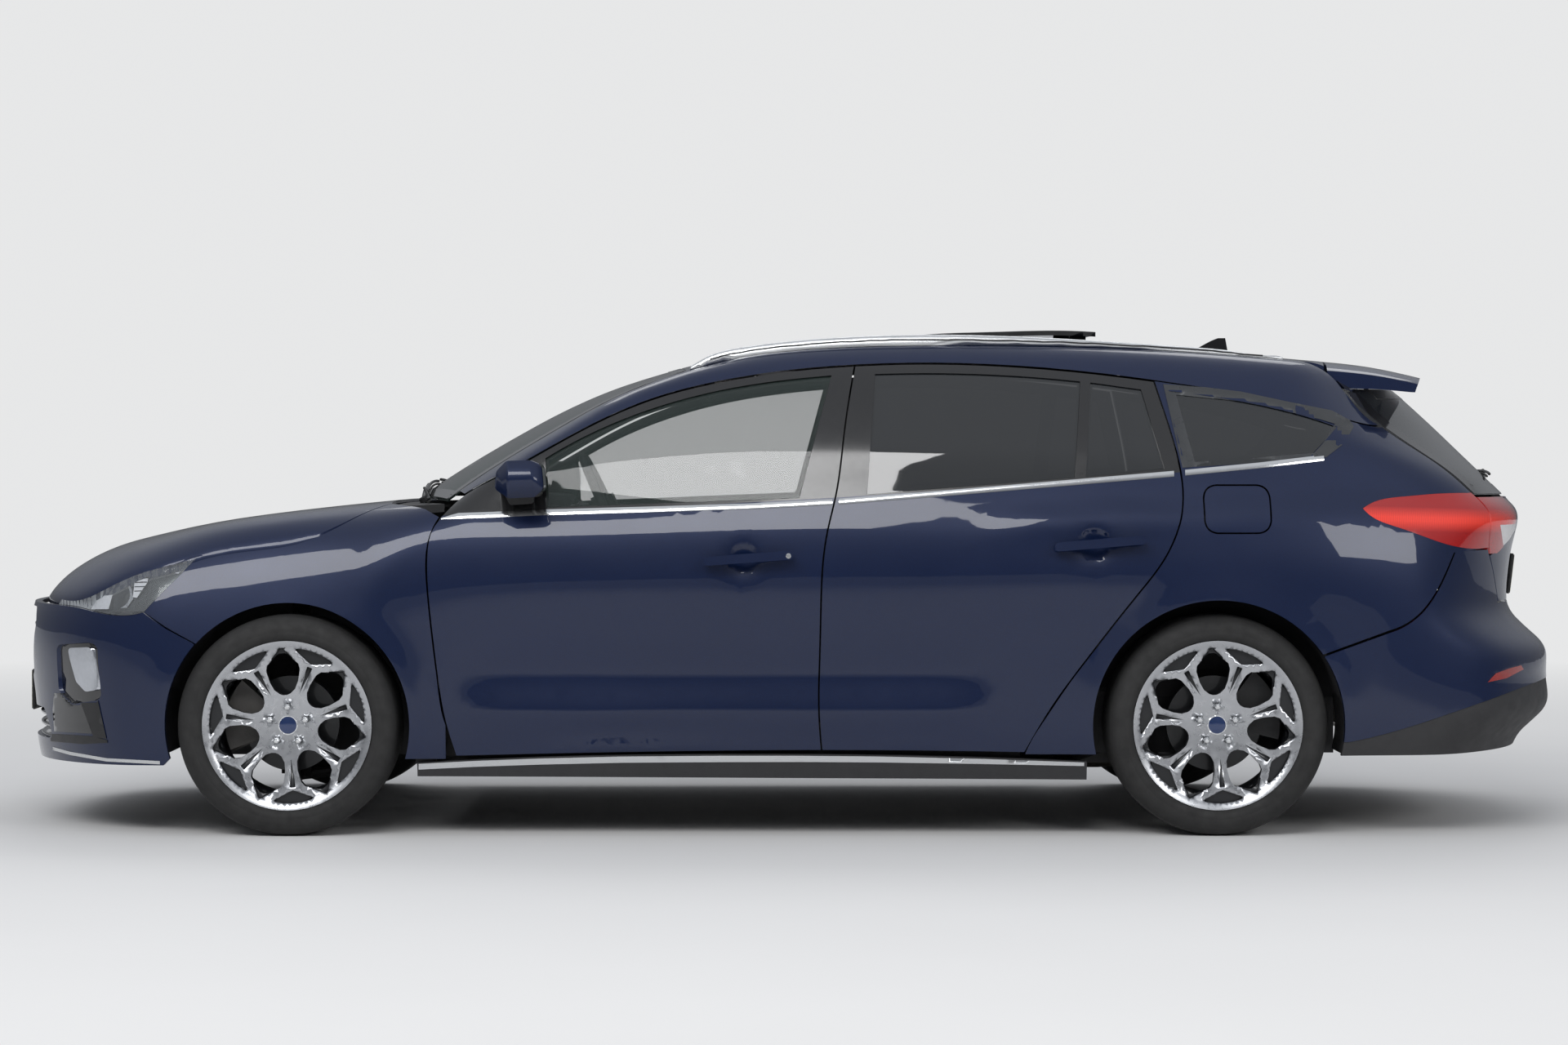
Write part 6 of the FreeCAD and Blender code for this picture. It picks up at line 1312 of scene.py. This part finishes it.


# Door mirrors: glass at the back.

for side, sign in SIDES:
    skin = Skin(f"mirror_{side}")
    rows = []
    for z in (1.000, 1.012, 1.030, 1.050, 1.068, 1.078):
        inset = 0.006 if z in (1.000, 1.078) else 0.0
        rows.append([skin.cast((-0.5, sign * y, z), (-1, 0, 0), 0.0016)
                     for y in (0.848 + inset, 0.87, 0.90, 0.93, 0.955, 0.972 - inset * 2)])
    if all(p is not None for row in rows for p in row):
        parts = Parts()
        parts.grid(rows)
        parts.grid([[p + Vector((-0.004, 0, 0)) for p in row] for row in rows])
        parts.make(f"mirror_glass_{side}", [MIRROR_GLASS], f"front_door_{side}_body", "clear_glass")


# Nose: lamp insides, blank plate, lower strips.

LAMP = Skin("front_lamps")
NOSE = Skin("front_bumper")
LAMP_DARK = plain("lamp_dark", (0.07, 0.078, 0.08), 0.16, 0.85, vary=0.3, scale=9)
BOWL = plain("lamp_bowl", (0.72, 0.75, 0.80), 0.28, 0.55, vary=0.12, scale=30)
LIGHT_BAR = plain("light_bar", (0.82, 0.84, 0.88), 0.25, vary=0.03)


def lamp_part(name, ring, material, sink, bowl=None):
    decal(name, LAMP, ring, [material], ROOT, "lamp_clear", lift=-sink, wall=0.0008, step=4, bowl=bowl)


lamp_part("headlamp_base", [(242, 678.5), (204, 685.5), (153, 694), (113, 706), (93, 718), (82, 732),
                            (83, 746), (122, 746), (130, 749.5), (174, 746)], LAMP_DARK, 0.016)
lamp_part("headlamp_band", [(240, 680), (204, 686.5), (153, 695), (114, 707), (96, 719), (99, 725),
                            (118, 712), (153, 702), (196, 697), (216, 700)], SILVER, 0.0135)
lamp_part("headlamp_bowl", [(114, 738), (116, 722), (124, 712), (138, 708), (151, 710), (158, 719),
                            (160, 732), (152, 743), (134, 744)], BOWL, 0.0115,
          ((137, 726), 22, 0.02))
lamp_part("headlamp_insert", [(163, 703), (180, 702), (178, 712), (165, 731), (160, 730)], LIGHT_BAR,
          0.0100)
lamp_part("headlamp_block", [(118, 729), (135, 727), (130, 745), (108, 745)], LIGHT_BAR, 0.0085)
lamp_part("headlamp_foot", [(86, 743), (88, 737), (101, 738), (100, 745)], LIGHT_BAR, 0.0100)
for k in range(4):
    top = 705.5 + 5.5 * k
    shift = -0.9 * k
    lamp_part(f"headlamp_rib_{k + 1}", [(163 + shift * 0.4, top), (180 + shift * 2.2, top - 0.4),
                                        (180 + shift * 2.2, top + 0.9), (163 + shift * 0.4, top + 1.3)],
              LAMP_DARK, 0.0088)

decal("nose_pocket", NOSE, [(66, 849), (95, 851), (113, 899), (66, 896), (64, 870)], [GLOSS_BLACK], ROOT,
      "gloss_black", lift=0.0014, step=3)
decal("nose_post", NOSE, [(97, 856), (119, 855), (130, 905), (114, 903)], [TRIM_BLACK], ROOT,
      "black_plastic", lift=0.0022, step=3)
decal("nose_lip", NOSE, [(60, 899), (113, 902), (131, 907), (131, 910), (100, 911.5), (62, 908)],
      [TRIM_BLACK], ROOT, "black_plastic", lift=0.0020, step=3)
decal("nose_strip", NOSE, [(64, 915), (85, 921), (130, 929), (195, 932.5), (195, 936.5), (130, 933),
                           (85, 925), (64, 919)], [SATIN_RAIL], ROOT, "bright_rail", lift=0.0014, step=3)


def plate(name, x, z, facing, lean, body, wide=0.52, tall=0.112):
    parts = Parts()
    turn = Matrix.Rotation(lean, 4, "Y")
    parts.block((x, 0, z), (0.010, wide + 0.012, tall + 0.012), turn, 0.3)
    parts.block((x + facing * 0.0045, 0, z), (0.004, wide, tall), turn, 0.2, mark=1)
    parts.make(name, [TRIM_BLACK, PLATE], body, "black_plastic")


front = NOSE.cast((-2.6, 0.02, 0.39), (1, 0, 0))
if front:
    plate("front_plate_blank", max(front.x - 0.004, CAD_BOX[0].x + 0.0065), 0.39, -1, 0, ROOT)
TAIL = Skin("tailgate_panel")
rear = TAIL.cast((2.6, 0.02, 0.745), (-1, 0, 0))
low = TAIL.cast((2.6, 0.02, 0.70), (-1, 0, 0))
high = TAIL.cast((2.6, 0.02, 0.79), (-1, 0, 0))
if rear and low and high:
    plate("rear_plate_blank", rear.x + 0.004, 0.745, 1, math.atan2(high.x - low.x, 0.09),
          "tailgate_body")


# Wipers lie at the foot of the screen and on the tailgate glass.

def wiper(name, skin, pivot, tip_start, tip_end, look, body, arm_to):
    parts = Parts()
    look = Vector(look).normalized()

    def on(point, lift):
        hit = skin.cast(Vector(point) + look * 0.25, -look, lift)
        return hit if hit else Vector(point)
    blade = [on(Vector(tip_start).lerp(Vector(tip_end), i / 16), 0.007) for i in range(17)]
    top = [p + look * 0.010 for p in blade]
    parts.tube(blade, 0.0035, 8, mark=1)
    parts.tube(top, 0.0045, 8)
    start = on(pivot, 0.010)
    end = on(arm_to, 0.020)
    middle = start.lerp(end, 0.4) + look * 0.006
    parts.tube([start, middle, end], [0.009, 0.007, 0.005], 10)
    parts.tube([start - look * 0.010, start + look * 0.006, start + look * 0.010],
               [0.015, 0.015, 0.011], 18)
    parts.make(name, [TRIM_BLACK, RUBBER], body, "black_plastic")


SCREEN_SKIN = Skin("windscreen", "cowl", "bonnet")
wiper("wiper_driver", SCREEN_SKIN, (-1.10, -0.42, 0.97), (-1.085, -0.62, 1.0), (-1.085, 0.06, 1.0),
      (-0.45, 0, 0.9), ROOT, (-1.085, -0.28, 1.0))
wiper("wiper_passenger", SCREEN_SKIN, (-1.10, 0.22, 0.97), (-1.075, 0.06, 1.0), (-1.065, 0.58, 1.0),
      (-0.45, 0, 0.9), ROOT, (-1.075, 0.34, 1.0))
GATE_SKIN = Skin("tailgate_glass", "tailgate_frame", "tailgate_panel")
wiper("wiper_rear", GATE_SKIN, (2.17, 0.0, 1.01), (2.13, 0.02, 1.035), (2.13, -0.36, 1.045),
      (0.72, 0, 0.69), "tailgate_body", (2.13, -0.17, 1.04))
GATE_LOW = Skin("tailgate_panel", "tail_lamps_gate")
seal = Parts()
rows = []
for i in range(41):
    y = -0.53 + 1.06 * i / 40
    high = GATE_SKIN.cast((2.6, y, 0.996), (-1, 0, 0))
    low = GATE_LOW.cast((2.6, y, 0.970), (-1, 0, 0))
    if high and low:
        top, foot = high + Vector((-0.010, 0, 0.004)), low + Vector((-0.010, 0, -0.004))
        rows.append([top, foot, foot + Vector((-0.006, 0, 0)), top + Vector((-0.006, 0, 0))])
seal.grid(rows, closed=True, capped=True)
seal.make("tailgate_seal", [RUBBER], "tailgate_body", "rubber_black")


# Roof: painted shade, a dark strip along the side of each rail where its groove is.

RAIL = Skin("roof_rails")
lo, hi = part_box("roof_rails")
rail_rows = []
for x in stations(lo.x + 0.06, hi.x - 0.06, 0.03):
    found = []
    for z in stations(lo.z, hi.z, 0.002):
        point = RAIL.side(x, z, 0.0)
        if point is not None:
            found.append(point)
    if len(found) > 3:
        mid = found[len(found) // 2]
        rail_rows.append([mid + Vector((0, -0.0008, -0.0022)), mid + Vector((0, -0.0008, 0.0022))])
for side, sign in SIDES:
    parts = Parts()
    # Painted shade of the groove: a thin dark strip on the rail's side.
    ribbon(parts, [flipped(row, sign) for row in rail_rows], 0.003)
    if parts.faces:
        parts.make(f"rail_groove_shade_{side}", [TRIM_BLACK], ROOT, "bright_rail")


# Floor, lights and camera.

BACKDROP = (0.84, 0.845, 0.85, 1)


def stage_and_lights():
    work = bmesh.new()
    bmesh.ops.create_grid(work, x_segments=1, y_segments=1, size=60)
    mesh = bpy.data.meshes.new("studio_floor")
    work.to_mesh(mesh)
    work.free()
    floor = bpy.data.objects.new("studio_floor", mesh)
    bpy.context.scene.collection.objects.link(floor)
    graph = Graph("pale_floor", (0.76, 0.755, 0.75), 0.7)
    graph.tint((0.76, 0.755, 0.75), 0.03, 0.8)
    # Far from the car the floor fades into the backdrop, as the camera sees it.
    x, y, _ = graph.axes()
    far = graph.math("SQRT", graph.math("ADD", graph.math("MULTIPLY", x, x), graph.math("MULTIPLY", y, y)))
    glow = graph.node("ShaderNodeEmission")
    glow.inputs["Color"].default_value = BACKDROP
    glow.inputs["Strength"].default_value = 0.95
    path = graph.node("ShaderNodeLightPath")
    fade = graph.math("MULTIPLY", graph.span(far, 0.0, 1.0, 2.6, 9.5), path.outputs["Is Camera Ray"])
    mix = graph.node("ShaderNodeMixShader")
    graph.link(fade, mix.inputs[0])
    graph.link(graph.shader.outputs[0], mix.inputs[1])
    graph.link(glow.outputs[0], mix.inputs[2])
    tree = graph.material.node_tree
    out = next(n for n in tree.nodes if n.type == "OUTPUT_MATERIAL")
    graph.link(mix.outputs[0], out.inputs["Surface"])
    mesh.materials.append(graph.material)

    world = bpy.data.worlds.new("studio")
    bpy.context.scene.world = world
    world.use_nodes = True
    tree = world.node_tree
    sky = tree.nodes["Background"]
    # A soft grey room, brighter overhead, so that glossy paint shows an even gradient.
    place = tree.nodes.new("ShaderNodeTexCoord")
    parts = tree.nodes.new("ShaderNodeSeparateXYZ")
    tree.links.new(place.outputs["Generated"], parts.inputs[0])
    ramp = tree.nodes.new("ShaderNodeValToRGB")
    tree.links.new(parts.outputs["Z"], ramp.inputs[0])
    ramp.color_ramp.elements[0].position = 0.0
    ramp.color_ramp.elements[0].color = (0.16, 0.165, 0.175, 1)
    ramp.color_ramp.elements[1].position = 0.7
    ramp.color_ramp.elements[1].color = (0.80, 0.83, 0.88, 1)
    tree.links.new(ramp.outputs[0], sky.inputs["Color"])
    sky.inputs["Strength"].default_value = 0.7
    seen = tree.nodes.new("ShaderNodeBackground")
    seen.inputs["Color"].default_value = BACKDROP
    seen.inputs["Strength"].default_value = 0.95
    path = tree.nodes.new("ShaderNodeLightPath")
    mix = tree.nodes.new("ShaderNodeMixShader")
    tree.links.new(path.outputs["Is Camera Ray"], mix.inputs[0])
    tree.links.new(sky.outputs[0], mix.inputs[1])
    tree.links.new(seen.outputs[0], mix.inputs[2])
    tree.links.new(mix.outputs[0], tree.nodes["World Output"].inputs["Surface"])

    def lamp(name, place, target, size, power):
        data = bpy.data.lights.new(name, "AREA")
        data.shape = "RECTANGLE"
        data.size, data.size_y = size
        data.energy = power
        made = bpy.data.objects.new(name, data)
        made.location = place
        made.rotation_euler = (Vector(target) - Vector(place)).to_track_quat("-Z", "Y").to_euler()
        bpy.context.scene.collection.objects.link(made)
    lamp("key", (-3.0, -7.5, 6.5), (0, 0, 0.6), (8, 2.5), 430)
    lamp("fill", (6.0, -7.0, 4.0), (0.5, 0, 0.6), (4, 2), 150)
    lamp("back", (0.5, 5.5, 7.5), (0, 0, 0.8), (8, 3), 130)

    camera = bpy.data.objects.new("camera", bpy.data.cameras.new("camera"))
    bpy.context.scene.collection.objects.link(camera)
    camera.data.sensor_width = 36
    camera.data.lens = 83.34
    camera.location = EYE
    camera.rotation_euler = (math.radians(90 - TILT), 0, 0)
    bpy.context.scene.camera = camera
    bpy.context.scene.view_settings.view_transform = "Standard"


stage_and_lights()
